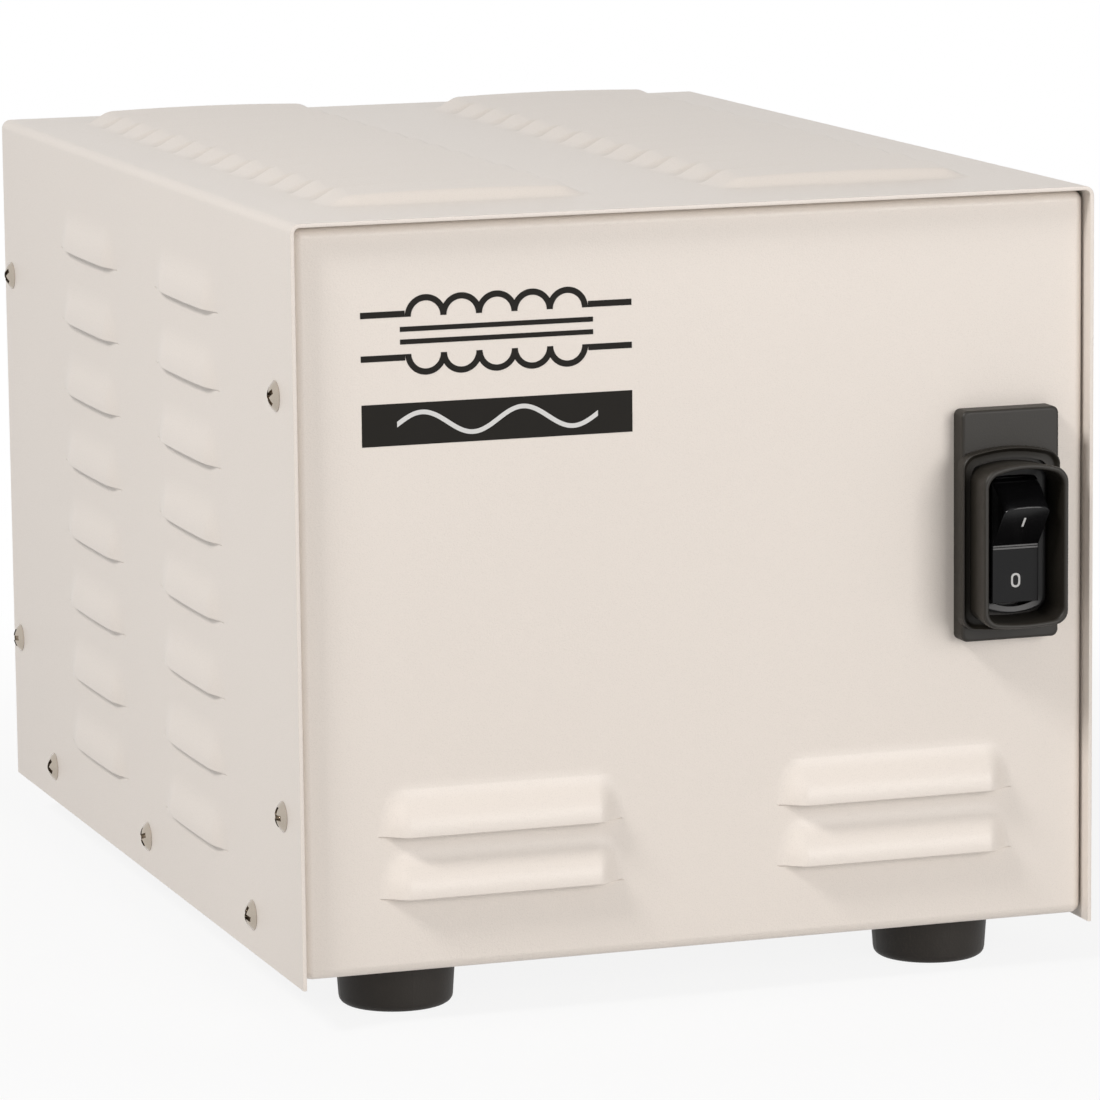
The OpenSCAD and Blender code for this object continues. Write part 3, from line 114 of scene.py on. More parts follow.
class Finish:
    """A material, or the world, whose nodes are made one call at a time."""

    def __init__(self, name, world=False):
        self.data = (bpy.data.worlds if world else bpy.data.materials).new(name)
        self.data.use_nodes = True
        self.tree = self.data.node_tree
        self.tree.nodes.clear()

    def node(self, kind, settings=None, output=0, **sockets):
        made = self.tree.nodes.new("ShaderNode" + kind)
        for key, value in (settings or {}).items():
            if key == "stops":
                ramp = made.color_ramp
                while len(ramp.elements) < len(value):
                    ramp.elements.new(0.5)
                for element, (place, colour) in zip(ramp.elements, value):
                    element.position, element.color = place, (*colour, 1)
            else:
                setattr(made, key, value)
        for key, value in sockets.items():
            named = [s for s in made.inputs if s.name.replace(" ", "_") == key and s.enabled]
            socket = named[0]
            if isinstance(value, Value):
                self.tree.links.new(value.socket, socket)
            elif isinstance(value, tuple) and socket.type == "RGBA":
                socket.default_value = (*value, 1)
            else:
                socket.default_value = value
        return Value(self.tree, made.outputs[output])

    def place(self, scale=1.0, stretch=(1, 1, 1)):
        spot = self.node("TexCoord", output=3)
        return self.node("Mapping", Vector=spot, Scale=tuple(scale * s for s in stretch))

    def noise(self, size, detail=2.0, stretch=(1, 1, 1)):
        return self.node("TexNoise", Vector=self.place(1 / size, stretch), Scale=1.0, Detail=detail,
                         Roughness=0.5)

    def blend(self, factor, a, b):
        mix = self.tree.nodes.new("ShaderNodeMix")
        mix.data_type = "RGBA"
        for place, value in ((0, factor), (6, a), (7, b)):
            if isinstance(value, Value):
                self.tree.links.new(value.socket, mix.inputs[place])
            else:
                mix.inputs[place].default_value = value if place == 0 else (*value, 1)
        return Value(self.tree, mix.outputs[2])

    def bump(self, height, depth, strength=1.0):
        return self.node("Bump", Height=height, Distance=depth, Strength=strength)

    def surface(self, **sockets):
        shader = self.node("BsdfPrincipled", **sockets)
        self.output(shader)
        return self.data

    def output(self, shader):
        kind = "OutputWorld" if isinstance(self.data, bpy.types.World) else "OutputMaterial"
        end = self.tree.nodes.new("ShaderNode" + kind)
        self.tree.links.new(shader.socket, end.inputs["Surface"])


def seen_white(finish, plain, share=1.0):
    """White for the camera and in reflections, by a share, and the plain shader for all other light"""
    seen = finish.node("LightPath", output=0).math("MAXIMUM", finish.node("LightPath", output=3))
    seen = seen.math("MAXIMUM", finish.node("LightPath", output=6)) * share
    white = finish.node("Background" if plain.socket.node.type == "BACKGROUND" else "Emission",
                        Color=(1.0, 1.0, 1.0), Strength=1.0)
    mix = finish.tree.nodes.new("ShaderNodeMixShader")
    for place, value in enumerate((seen, plain, white)):
        finish.tree.links.new(value.socket, mix.inputs[place])
    return Value(finish.tree, mix.outputs[0])


ambient = 0.26
world = Finish("studio", world=True)
world.output(seen_white(world, world.node("Background", Color=(1.0, 0.99, 0.98), Strength=ambient)))
bpy.context.scene.world = world.data

floor_size, shadow_reach, shadow_end, floor_lift = 6.0, 0.2, 0.45, 0.88
bpy.ops.mesh.primitive_plane_add(size=floor_size, location=(0, 0, 0))
floor = bpy.context.active_object
floor.name = "floor"
floor_finish = Finish("floor")
from_middle = floor_finish.node("VectorMath", {"operation": "LENGTH"}, output=1,
                                Vector=floor_finish.node("TexCoord", output=3))
far = floor_finish.node("MapRange", Value=from_middle, From_Min=shadow_reach, From_Max=shadow_end)
plain_floor = floor_finish.node("BsdfPrincipled", Base_Color=(0.7, 0.7, 0.7), Roughness=0.9)
floor_finish.output(seen_white(floor_finish, plain_floor, far * (1 - floor_lift) + floor_lift))
floor.data.materials.append(floor_finish.data)
floor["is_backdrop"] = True


def lamp(name, place, size, watts, colour=(1, 1, 1)):
    data = bpy.data.lights.new(name, "AREA")
    data.shape, data.size, data.energy, data.color = "SQUARE", size, watts, colour
    made = bpy.data.objects.new(name, data)
    bpy.context.scene.collection.objects.link(made)
    spot = Vector(place)
    made.matrix_world = Matrix.Translation(spot) @ (spot - aim).to_track_quat("Z", "Y").to_matrix().to_4x4()


lamp("lamp_front", (0.62, -1.6, 0.45), 0.8, 12.0, (1.0, 0.97, 0.95))
lamp("lamp_left", (-1.35, -0.55, 1.45), 0.4, 22.5, (1.0, 0.975, 0.96))


# Powder coat of the case: warm off-white paint baked onto steel, with the fine orange peel that
# such a coat has and a slight drift of tone over each panel.
def powder_coat(name, tone):
    coat = Finish(name)
    drift = coat.noise(60 * mm, detail=1.0)
    peel = coat.noise(0.55 * mm, detail=3.0)
    grit = coat.noise(0.22 * mm, detail=1.0)
    dark = tuple(c * 0.975 for c in tone)
    colour = coat.blend(drift, dark, tone)
    speck = coat.node("ValToRGB", {"stops": [(0.32, (0.93, 0.93, 0.93)), (0.45, (1.0, 1.0, 1.0))]}, Fac=grit)
    colour = coat.node("VectorMath", {"operation": "MULTIPLY"}, Vector=colour)
    coat.tree.links.new(speck.socket, colour.socket.node.inputs[1])
    height = peel * 0.7 + grit * 0.3
    return coat.surface(Base_Color=colour, Roughness=peel * 0.2 + 0.3,
                        Normal=coat.bump(height, 0.09 * mm, 0.55), IOR=1.5, Specular_IOR_Level=0.5)


case_paint = powder_coat("case_paint", (0.80, 0.74, 0.68))


# Cover: one sheet of 1 mm steel folded into a U, lanced with two banks of louvres on the top and two
# columns on each side. It is painted after folding and held by screws along its sides.
cover_t = 1.0 * mm
cover_h = 182.6 * mm
cover_bend = 2.4 * mm
sheet_edge = 0.22 * mm
top_form = dict(length=69 * mm, width=16 * mm, end=8.5 * mm, foot=6 * mm, rise=3.7 * mm,
                soft=0.36, lean=0.36, crown=0.22)
top_x, top_pitch, top_count, top_last_lip = 49.7 * mm, 17.78 * mm, 13, 21 * mm
side_form = dict(length=59.5 * mm, width=11.5 * mm, end=12 * mm, foot=11.5 * mm, rise=2.0 * mm,
                 soft=0.5, lean=0, crown=0.3)
side_y, side_pitch, side_count, side_low_lip = 47.3 * mm, 19.05 * mm, 8, 21 * mm
lead_in = 1.6 * mm
merge_gap = 0.01 * mm
quarter = math.pi / 2
x_axis, y_axis, z_axis = (1, 0, 0), (0, 1, 0), (0, 0, 1)


def only(piece):
    """Makes one object the active and the only selected one"""
    bpy.ops.object.select_all(action="DESELECT")
    piece.select_set(True)
    bpy.context.view_layer.objects.active = piece


def pick(kind, test):
    """Selects the active mesh's vertices, edges or faces that pass a test, in edit mode"""
    bpy.ops.mesh.select_mode(type=kind)
    bpy.ops.mesh.select_all(action="DESELECT")
    edit = bmesh.from_edit_mesh(bpy.context.active_object.data)
    for part in {"VERT": edit.verts, "EDGE": edit.edges, "FACE": edit.faces}[kind]:
        if test(part):
            part.select_set(True)
    edit.select_flush_mode()
    bmesh.update_edit_mesh(bpy.context.active_object.data)


def rim(axis, value, low=None, high=None, along=None):
    """Test for open edges that lie at a value on an axis, within a range along another"""
    def test(edge):
        if not edge.is_boundary or any(abs(v.co[axis] - value) > merge_gap for v in edge.verts):
            return False
        return along is None or all(low - merge_gap <= v.co[along] <= high + merge_gap for v in edge.verts)
    return test


def push(x=0, y=0, z=0):
    bpy.ops.mesh.extrude_region_move(TRANSFORM_OT_translate={"value": (x, y, z)})


def bend(turn, axis, pivot, steps=4):
    """Folds the selected edges round a pivot, turning as a right-handed screw does along the axis"""
    bpy.ops.mesh.spin(steps=steps, angle=-turn, axis=axis, center=pivot)


def cut_lines(axis, values):
    """Cuts the active mesh right across at each value on an axis"""
    across = [0, 0, 0]
    across[axis] = 1
    for value in values:
        bpy.ops.mesh.select_all(action="SELECT")
        bpy.ops.mesh.bisect(plane_co=tuple(value * a for a in across), plane_no=tuple(across))


def eased(t, soft):
    """A slope from 0 to 1 that is straight but for a soft start and end"""
    t = min(max(t, 0), 1)
    area = 1 - soft
    if t < soft:
        return t * t / (2 * soft * area)
    if t > 1 - soft:
        return 1 - (1 - t) ** 2 / (2 * soft * area)
    return (t - soft / 2) / area


def louvre_height(form, u, v):
    """Height of a louvre over the sheet, at u along it from its middle and v from its lip"""
    past_end = max(abs(u) - (form["length"] / 2 - form["end"]), 0) / form["end"]
    past_foot = max(v - (form["width"] - form["foot"]), 0) / form["foot"]
    lower = 1 - form["lean"] * v / form["width"] - form["crown"] * (2 * u / form["length"]) ** 2
    return form["rise"] * lower * (1 - eased(math.hypot(past_end, past_foot), form["soft"]))


def louvre_strip(name, form, centres, half_length, pitch, count, steps=9):
    """A strip of sheet in XY with a row of louvres at each centre, repeated along Y, lips at Y = 0"""
    bpy.ops.mesh.primitive_plane_add(size=1)
    strip = bpy.context.active_object
    strip.name = name
    strip.scale = (2 * half_length, pitch, 1)
    strip.location = (0, pitch / 2 - lead_in, 0)
    bpy.ops.object.transform_apply(location=True, rotation=True, scale=True)
    bpy.ops.object.mode_set(mode="EDIT")
    bpy.ops.mesh.select_mode(type="VERT")
    for centre in centres:
        for side in (-1, 1):
            cut_lines(0, [centre + side * (form["length"] / 2 - form["end"] * i / steps)
                          for i in range(steps + 1)])
        flat = form["length"] / 2 - form["end"]
        cut_lines(0, [centre + flat * i / 3 for i in range(-2, 3)])
    start = form["width"] - form["foot"]
    cut_lines(1, [0] + ([start / 2] if start > merge_gap else []))
    first_step = 0 if start > merge_gap else 1
    cut_lines(1, [start + form["foot"] * i / steps for i in range(first_step, steps + 1)])

    def in_louvre(edge):
        return any(all(abs(v.co.y) < merge_gap and abs(v.co.x - c) < form["length"] / 2 + merge_gap
                       for v in edge.verts) for c in centres)
    pick("EDGE", in_louvre)
    bpy.ops.mesh.edge_split(type="EDGE")
    edit = bmesh.from_edit_mesh(strip.data)
    for vert in edit.verts:
        on_lip = abs(vert.co.y) < merge_gap
        before_lip = any(face.calc_center_median().y < 0 for face in vert.link_faces)
        if vert.co.y < -merge_gap or (on_lip and before_lip):
            continue
        vert.co.z = max(louvre_height(form, vert.co.x - c, vert.co.y) for c in centres)
    bmesh.update_edit_mesh(strip.data)
    bpy.ops.object.mode_set(mode="OBJECT")
    array = strip.modifiers.new("rows", "ARRAY")
    array.use_relative_offset, array.use_constant_offset = False, True
    array.constant_offset_displace = (0, pitch, 0)
    array.count, array.use_merge_vertices, array.merge_threshold = count, True, merge_gap
    bpy.ops.object.modifier_apply(modifier="rows")
    return strip


def lay(piece, x_axis, y_axis, z_axis, origin):
    """Turns a piece that was made flat in XY onto its place, with its own X, Y and Z along the axes given"""
    only(piece)
    piece.matrix_world = (Matrix.Translation(origin)
                          @ Matrix((x_axis, y_axis, z_axis)).transposed().to_4x4())
    bpy.ops.object.transform_apply(location=True, rotation=True, scale=True)


def sheet_metal(piece, thickness, edge=sheet_edge):
    """Gives a folded skin its thickness inwards, and breaks its cut edges"""
    only(piece)
    wall = piece.modifiers.new("wall", "SOLIDIFY")
    wall.thickness, wall.offset, wall.use_even_offset = thickness, -1, True
    wall.thickness_clamp = 0
    bpy.ops.object.modifier_apply(modifier="wall")
    soften(piece, edge)


def soften(piece, edge, segments=2, angle=50, smooth=42):
    """Rounds a piece's sharp edges and shades the rest smooth"""
    only(piece)
    if edge:
        rounds = piece.modifiers.new("rounds", "BEVEL")
        rounds.width, rounds.segments, rounds.limit_method = edge, segments, "ANGLE"
        rounds.angle_limit, rounds.use_clamp_overlap = math.radians(angle), True
        rounds.harden_normals = False
        bpy.ops.object.modifier_apply(modifier="rounds")
    bpy.ops.object.shade_smooth_by_angle(angle=math.radians(smooth))
    weigh = piece.modifiers.new("normals", "WEIGHTED_NORMAL")
    weigh.keep_sharp = True
    bpy.ops.object.modifier_apply(modifier="normals")


def finish_piece(piece, material, body, slot, *nodes):
    piece.data.materials.clear()
    piece.data.materials.append(material)
    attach(piece, body)
    if nodes:
        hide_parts(*nodes)
    return piece


cover_top = case_bottom + cover_h
half_w = case_w / 2
case_d = case_rear - case_front
case_mid_y = (case_front + case_rear) / 2

top = louvre_strip("case_cover", top_form, (-top_x, top_x), half_w - cover_bend, top_pitch, top_count)
lay(top, Vector((-1, 0, 0)), Vector((0, -1, 0)), Vector((0, 0, 1)),
    Vector((0, case_rear - top_last_lip, cover_top)))
only(top)
bpy.ops.object.mode_set(mode="EDIT")
bank_rear = case_rear - top_last_lip + lead_in
bank_front = bank_rear - top_count * top_pitch
pick("EDGE", rim(1, bank_rear))
push(y=case_rear - bank_rear)
pick("EDGE", rim(1, bank_front))
push(y=case_front - bank_front)
for side in (-1, 1):
    pick("EDGE", rim(0, side * (half_w - cover_bend)))
    bend(side * quarter, y_axis, (side * (half_w - cover_bend), 0, cover_top - cover_bend), 6)
bpy.ops.object.mode_set(mode="OBJECT")

sides = []
for side in (-1, 1):
    wall = louvre_strip("cover_side", side_form, (-side_y, side_y), case_d / 2, side_pitch, side_count)
    lay(wall, Vector((0, side, 0)), Vector((0, 0, 1)), Vector((side, 0, 0)),
        Vector((side * half_w, case_mid_y, case_bottom + side_low_lip)))
    only(wall)
    bpy.ops.object.mode_set(mode="EDIT")
    pick("EDGE", rim(2, case_bottom + side_low_lip - lead_in))
    push(z=lead_in - side_low_lip)
    bpy.ops.object.mode_set(mode="OBJECT")
    sides.append(wall)
only(top)
for wall in sides:
    wall.select_set(True)
bpy.ops.object.join()
bpy.ops.object.mode_set(mode="EDIT")
bank_high = case_bottom + side_low_lip - lead_in + side_count * side_pitch
for side in (-1, 1):
    for end in (case_front, case_rear):
        def corner(vert):
            return (abs(vert.co.x - side * half_w) < merge_gap and abs(vert.co.y - end) < merge_gap
                    and (abs(vert.co.z - bank_high) < merge_gap
                         or abs(vert.co.z - cover_top + cover_bend) < merge_gap))
        pick("VERT", corner)
        bpy.ops.mesh.edge_face_add()

    def gap_edge(edge):
        on_wall = all(abs(v.co.x - side * half_w) < merge_gap and v.co.z > bank_high - merge_gap
                      and v.co.z < cover_top - cover_bend + merge_gap for v in edge.verts)
        return on_wall and len(edge.link_faces) < 2
    pick("EDGE", gap_edge)
    bpy.ops.mesh.edge_face_add()
bpy.ops.mesh.select_all(action="SELECT")
bpy.ops.mesh.normals_make_consistent(inside=False)
bpy.ops.object.mode_set(mode="OBJECT")


def face_out(piece, place, direction):
    """Turns a whole skin over if its face nearest to a place looks the wrong way"""
    nearest = min(piece.data.polygons, key=lambda f: (f.center - place).length)
    if nearest.normal.dot(direction) < 0:
        only(piece)
        bpy.ops.object.mode_set(mode="EDIT")
        bpy.ops.mesh.select_all(action="SELECT")
        bpy.ops.mesh.flip_normals()
        bpy.ops.object.mode_set(mode="OBJECT")


face_out(top, Vector((0, 0, cover_top)), Vector((0, 0, 1)))
sheet_metal(top, cover_t)
finish_piece(top, case_paint, "case", "case_paint", "cover")


# Chassis: front panel, base and rear panel folded from 1.5 mm steel in one piece, with flanges that the
# cover's screws bite into. Two louvres are lanced at each side of the front panel.
chassis_t = 1.5 * mm
chassis_bend = 2.6 * mm
panel_flange = 19 * mm
base_flange = 17 * mm
tray_gap = 0.8 * mm
front_form = dict(length=62 * mm, width=12.6 * mm, end=7.5 * mm, foot=11.6 * mm, rise=3.8 * mm, soft=0.4,
                  lean=0, crown=0)
front_x, front_pitch, front_low_lip = 50.6 * mm, 15.1 * mm, 19.9 * mm
front_recess = 3.2 * mm
rear_recess = 1.0 * mm
chassis_low, chassis_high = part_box("chassis")
panel_y = case_front + front_recess
rear_y = case_rear - rear_recess
base_z, panel_top = chassis_low.z, chassis_high.z
half_panel = chassis_high.x
flat_x = half_panel - chassis_bend

chassis = louvre_strip("case_chassis", front_form, (-front_x, front_x), flat_x, front_pitch, 2)
first_lip = case_bottom + front_low_lip
lay(chassis, Vector((1, 0, 0)), Vector((0, 0, 1)), Vector((0, -1, 0)), Vector((0, panel_y, first_lip)))
only(chassis)
bpy.ops.object.mode_set(mode="EDIT")
low_z, high_z = base_z + chassis_bend, panel_top - chassis_bend
bank_low, bank_top = first_lip - lead_in, first_lip - lead_in + 2 * front_pitch
pick("EDGE", rim(2, bank_low))
push(z=low_z - bank_low)
pick("EDGE", rim(2, bank_top))
push(z=high_z - bank_top)


def at_panel(face_y, *tests):
    """Test for open edges of an end panel's flat, which lie on its face"""
    def test(edge):
        return all(abs(v.co.y - face_y) < merge_gap for v in edge.verts) and all(t(edge) for t in tests)
    return test


def fold_panel_edges(face_y, inward):
    """Folds an end panel's sides and top into flanges, and rounds its corners, which are welded shut"""
    bend_y = face_y + inward * chassis_bend
    for side in (-1, 1):
        pick("EDGE", at_panel(face_y, rim(0, side * flat_x)))
        bend(side * inward * quarter, z_axis, (side * flat_x, bend_y, 0))
        push(y=inward * flange_run)
    pick("EDGE", at_panel(face_y, rim(2, high_z)))
    bend(-inward * quarter, x_axis, (0, bend_y, high_z))
    push(y=inward * flange_run)
    for side in (-1, 1):
        for level in (-1, 1):
            corner_z = high_z if level > 0 else low_z

            def round_arc(edge):
                return edge.is_boundary and all(
                    abs(v.co.z - corner_z) < merge_gap and side * v.co.x > flat_x - merge_gap
                    and inward * (bend_y - v.co.y) > -merge_gap for v in edge.verts)
            pick("EDGE", round_arc)
            bend(-side * level * quarter, y_axis, (side * flat_x, 0, corner_z))


flange_run = panel_flange - chassis_bend
fold_panel_edges(panel_y, 1)
pick("EDGE", at_panel(panel_y, rim(2, low_z)))
bend(quarter, x_axis, (0, panel_y + chassis_bend, low_z))
tray_front = panel_y + panel_flange + tray_gap
tray_rear = rear_y - panel_flange - tray_gap
push(y=tray_front - panel_y - chassis_bend)
push(y=tray_rear - tray_front)
push(y=rear_y - chassis_bend - tray_rear)
bend(quarter, x_axis, (0, rear_y - chassis_bend, low_z))
push(z=high_z - low_z)
fold_panel_edges(rear_y, -1)
for side in (-1, 1):
    def tray_side(edge):
        return rim(0, side * flat_x, tray_front, tray_rear, 1)(edge) and all(
            abs(v.co.z - base_z) < merge_gap for v in edge.verts)
    pick("EDGE", tray_side)
    bend(side * -quarter, y_axis, (side * flat_x, 0, low_z))
    push(z=base_flange - chassis_bend)
bpy.ops.mesh.select_all(action="SELECT")
bpy.ops.mesh.remove_doubles(threshold=merge_gap)
bpy.ops.mesh.normals_make_consistent(inside=False)
bpy.ops.object.mode_set(mode="OBJECT")
face_out(chassis, Vector((0, panel_y, (base_z + panel_top) / 2)), Vector((0, -1, 0)))
sheet_metal(chassis, chassis_t, edge=0)


def cut_away(piece, cutter, operation="DIFFERENCE"):
    """Cuts a piece by another one, or joins them, and removes the other"""
    only(piece)
    carve = piece.modifiers.new("carve", "BOOLEAN")
    carve.operation, carve.object, carve.solver = operation, cutter, "EXACT"
    bpy.ops.object.modifier_apply(modifier="carve")
    bpy.data.objects.remove(cutter)


outlet_face_r, outlet_face_h, face_fit = 17.15 * mm, 28.6 * mm, 0.3 * mm
outlet_up, outlet_face_up, outlet_pitch = 106 * mm, 19.05 * mm, 56 * mm
outlet_z = cover_low.z + outlet_up
cut_depth = 12 * mm
gland_hole_r, gland_clear = 11.3 * mm, 20 * mm
breaker_hole = (15.6 * mm, cut_depth, 34.6 * mm)
for column in (-1, 0, 1):
    for row in (-1, 1):
        spot = Vector((column * outlet_pitch, rear_y, outlet_z + row * outlet_face_up))
        bpy.ops.mesh.primitive_cylinder_add(vertices=64, radius=outlet_face_r + face_fit, depth=cut_depth,
                                            location=spot, rotation=(quarter, 0, 0))
        cutter = bpy.context.active_object
        bpy.ops.object.transform_apply(location=True, rotation=True, scale=True)
        bpy.ops.object.mode_set(mode="EDIT")
        for side in (-1, 1):
            bpy.ops.mesh.select_all(action="SELECT")
            edge_z = spot.z + side * (outlet_face_h / 2 + face_fit)
            bpy.ops.mesh.bisect(plane_co=(0, 0, edge_z), plane_no=(0, 0, side), use_fill=True,
                                clear_outer=True)
        bpy.ops.object.mode_set(mode="OBJECT")
        cut_away(chassis, cutter)
gland_low, gland_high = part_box("gland_body")
gland_x, gland_z = (gland_low.x + gland_high.x) / 2, (gland_low.z + gland_high.z) / 2
bpy.ops.mesh.primitive_cylinder_add(vertices=64, radius=gland_hole_r, depth=cut_depth,
                                    location=(gland_x, rear_y, gland_z), rotation=(quarter, 0, 0))
cut_away(chassis, bpy.context.active_object)
breaker_low, breaker_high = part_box("breaker_bezel")
switch_x, pivot_z = (breaker_low.x + breaker_high.x) / 2, (breaker_low.z + breaker_high.z) / 2
bpy.ops.mesh.primitive_cube_add(size=1, location=(switch_x, panel_y, pivot_z), scale=breaker_hole)
cut_away(chassis, bpy.context.active_object)
only(chassis)
bpy.ops.object.mode_set(mode="EDIT")
cut_lines(2, [gland_z + gland_clear, outlet_z - outlet_face_up, outlet_z, outlet_z + outlet_face_up])
cut_lines(0, [gland_x, 0, outlet_pitch])
bpy.ops.object.mode_set(mode="OBJECT")
soften(chassis, sheet_edge)
finish_piece(chassis, case_paint, "case", "case_paint", "chassis")


# Feet: four moulded rubber bumpers, each screwed to the base through a recess in its underside.
# They taper a little towards the floor, and their lower edge is well rounded.
def moulded(name, colour, roughness, grain=0.4 * mm, depth=0.03 * mm, spread=0.12, shine=0.5):
    made = Finish(name)
    cloud = made.noise(12 * mm, detail=3.0)
    fine = made.noise(grain, detail=2.0)
    light = tuple(min(c * (1 + spread), 1) for c in colour)
    tone = made.blend(cloud, tuple(c * (1 - spread) for c in colour), light)
    return made.surface(Base_Color=tone, Roughness=cloud * 0.1 + (roughness - 0.05),
                        Normal=made.bump(fine, depth, 0.6), Specular_IOR_Level=shine)


def outline(width, height, radius, bows, arc=6, edge=8):
    """Points round a rectangle with round corners, whose top and bottom edges bow outwards"""
    points = []
    for side_x, side_z in ((1, 1), (-1, 1), (-1, -1), (1, -1)):
        corner = []
        for i in range(arc + 1):
            x = width / 2 - radius * (1 - math.cos(quarter * i / arc))
            z = height / 2 - radius * (1 - math.sin(quarter * i / arc))
            corner.append((side_x * x, side_z * z))
        if side_x == side_z:
            along_edge = [(side_x * (width / 2 - radius) * (1 - 2 * i / edge), side_z * height / 2)
                          for i in range(1, edge)]
            points += corner + along_edge
        else:
            points += corner[::-1]
    return [(x, z * (1 - bows[z < 0] * (2 * x / width) ** 2 / (height / 2))) for x, z in points]


def loft(name, centre, rings, along=2, radius=None, bows=(0, 0), through=False):
    """A solid with a rounded outline, whose width, height and place along Y or Z change ring by ring"""
    width, height, depth = rings[0]
    points = outline(width, height, width / 2 if radius is None else radius, bows,
                     arc=12 if radius is None else 6, edge=2 if radius is None else 8)
    bpy.ops.mesh.primitive_circle_add(vertices=len(points), radius=1, fill_type="NGON")
    piece = bpy.context.active_object
    piece.name = name
    for vert, (a, b) in zip(piece.data.vertices, points):
        spot = Vector(centre)
        spot.x += a
        spot[3 - along] += b
        spot[along] = depth
        vert.co = spot
    bpy.ops.object.mode_set(mode="EDIT")
    bpy.ops.mesh.select_mode(type="FACE")
    bpy.ops.mesh.select_all(action="SELECT")
    for new_width, new_height, new_depth in rings[1:]:
        shift, grow = [0, 0, 0], [new_width / width, 1, 1]
        shift[along] = new_depth - depth
        grow[3 - along] = new_height / height
        push(*shift)
        middle = Vector(centre)
        middle[along] = new_depth
        bpy.ops.transform.resize(value=tuple(grow), center_override=tuple(middle))
        width, height, depth = new_width, new_height, new_depth
    if through:
        caps = [f.index for f in bmesh.from_edit_mesh(piece.data).faces if len(f.verts) == len(points)]
        pick("FACE", lambda face: face.index in caps)
        bpy.ops.mesh.delete(type="ONLY_FACE")
        pick("EDGE", lambda edge: edge.is_boundary)
        bpy.ops.mesh.bridge_edge_loops()
    bpy.ops.mesh.select_all(action="SELECT")
    bpy.ops.mesh.normals_make_consistent(inside=False)
    bpy.ops.object.mode_set(mode="OBJECT")
    return piece


def rounded_rim(outer, low, high, radius, steps=4):
    """Ring sizes along a quarter round, from an outer wall to a flat end"""
    return [(outer - 2 * radius * (1 - math.cos(quarter * i / steps)),) * 2
            + (low + (high - low) * math.sin(quarter * i / steps),) for i in range(steps + 1)]


foot_rubber = moulded("foot_rubber", (0.022, 0.018, 0.0145), 0.55, grain=0.6 * mm, depth=0.05 * mm,
                      shine=0.3)
foot_h, foot_top_d, foot_low_d = 12.7 * mm, 29.4 * mm, 27.7 * mm
foot_round, foot_swell = 1.9 * mm, 0.2 * mm
recess_d, recess_h, recess_edge, foot_bore = 12.4 * mm, 6.5 * mm, 0.5 * mm, 5.6 * mm
for node in ("foot_front_left", "foot_front_right", "foot_rear_left", "foot_rear_right"):
    low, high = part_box(node)
    rings = [(foot_top_d,) * 2 + (foot_h,)]
    rings += rounded_rim(foot_low_d + foot_swell, foot_round, 0, foot_round)
    rings += [(recess_d + 2 * recess_edge,) * 2 + (0.0,), (recess_d,) * 2 + (recess_edge,),
              (recess_d,) * 2 + (recess_h,), (foot_bore,) * 2 + (recess_h,),
              (foot_bore,) * 2 + (foot_h - merge_gap,)]
    foot = loft("rubber_" + node, ((low.x + high.x) / 2, (low.y + high.y) / 2, 0), rings, through=True)
    soften(foot, 0)
    finish_piece(foot, foot_rubber, "case", "foot_rubber", node)


# Switch guard: a moulded rubber boot on the front panel. A flat plate with rounded edges carries a
# collar and a deep, slightly arched shroud that stands round the rocker.
guard_rubber = moulded("guard_rubber", (0.0135, 0.011, 0.0075), 0.5, grain=0.5 * mm, depth=0.04 * mm,
                       shine=0.42)
guard_low, guard_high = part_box("switch_guard")
plate_w, plate_h, plate_t, plate_edge = 25.4 * mm, 56.8 * mm, 5.5 * mm, 0.8 * mm
plate_r, plate_right, plate_steps = 1.6 * mm, 0.4 * mm, 3
plate_x, plate_z = switch_x + plate_right, (guard_low.z + guard_high.z) / 2
plate_rings = [(plate_w, plate_h, panel_y), (plate_w, plate_h, panel_y - plate_t + plate_edge)]
for i in range(1, plate_steps + 1):
    turn_in = quarter * i / plate_steps
    plate_rings.append((plate_w - 2 * plate_edge * (1 - math.cos(turn_in)),
                        plate_h - 2 * plate_edge * (1 - math.cos(turn_in)),
                        panel_y - plate_t + plate_edge * (1 - math.sin(turn_in))))
guard = loft("switch_boot", (plate_x, 0, plate_z), plate_rings, along=1, radius=plate_r)

# Width and height over those of the rim, and distance from the panel: first the collar with the shallow
# slot behind its lip, then the shroud's outer wall, its rim and its inner wall down to the floor.
collar_profile = [(3.4, 4.6), (3.4, 7.9), (3.25, 8.25), (2.9, 8.4), (2.4, 8.3), (2.0, 7.9), (1.5, 7.4),
                  (0.8, 7.1), (-1.9, 7.1), (-1.9, 4.6)]
shroud_profile = [(-1.1, 4.6), (-1.1, 7.1), (-1.2, 8.2), (-1.1, 9.6), (-0.8, 11.2), (-0.4, 13.2),
                  (-0.1, 15.4), (0.0, 16.8), (-0.25, 17.35), (-0.7, 17.65), (-1.4, 17.7), (-2.0, 17.6),
                  (-2.5, 17.2), (-2.7, 16.4), (-2.9, 12.0), (-3.2, 4.9), (-3.6, 4.5)]
rim_w, rim_h, rim_radius, collar_more = 22.1 * mm, 40.3 * mm, 2.8 * mm, 1.2 * mm
rim_left, rim_bows = 0.5 * mm, (2.0 * mm, 0.9 * mm)
rim_x = switch_x - rim_left
collar = loft("collar", (rim_x, 0, pivot_z + collar_more / 2),
              [(rim_w + grow * mm, rim_h + collar_more + grow * mm, panel_y - out * mm)
               for grow, out in collar_profile],
              along=1, radius=rim_radius, bows=rim_bows, through=True)
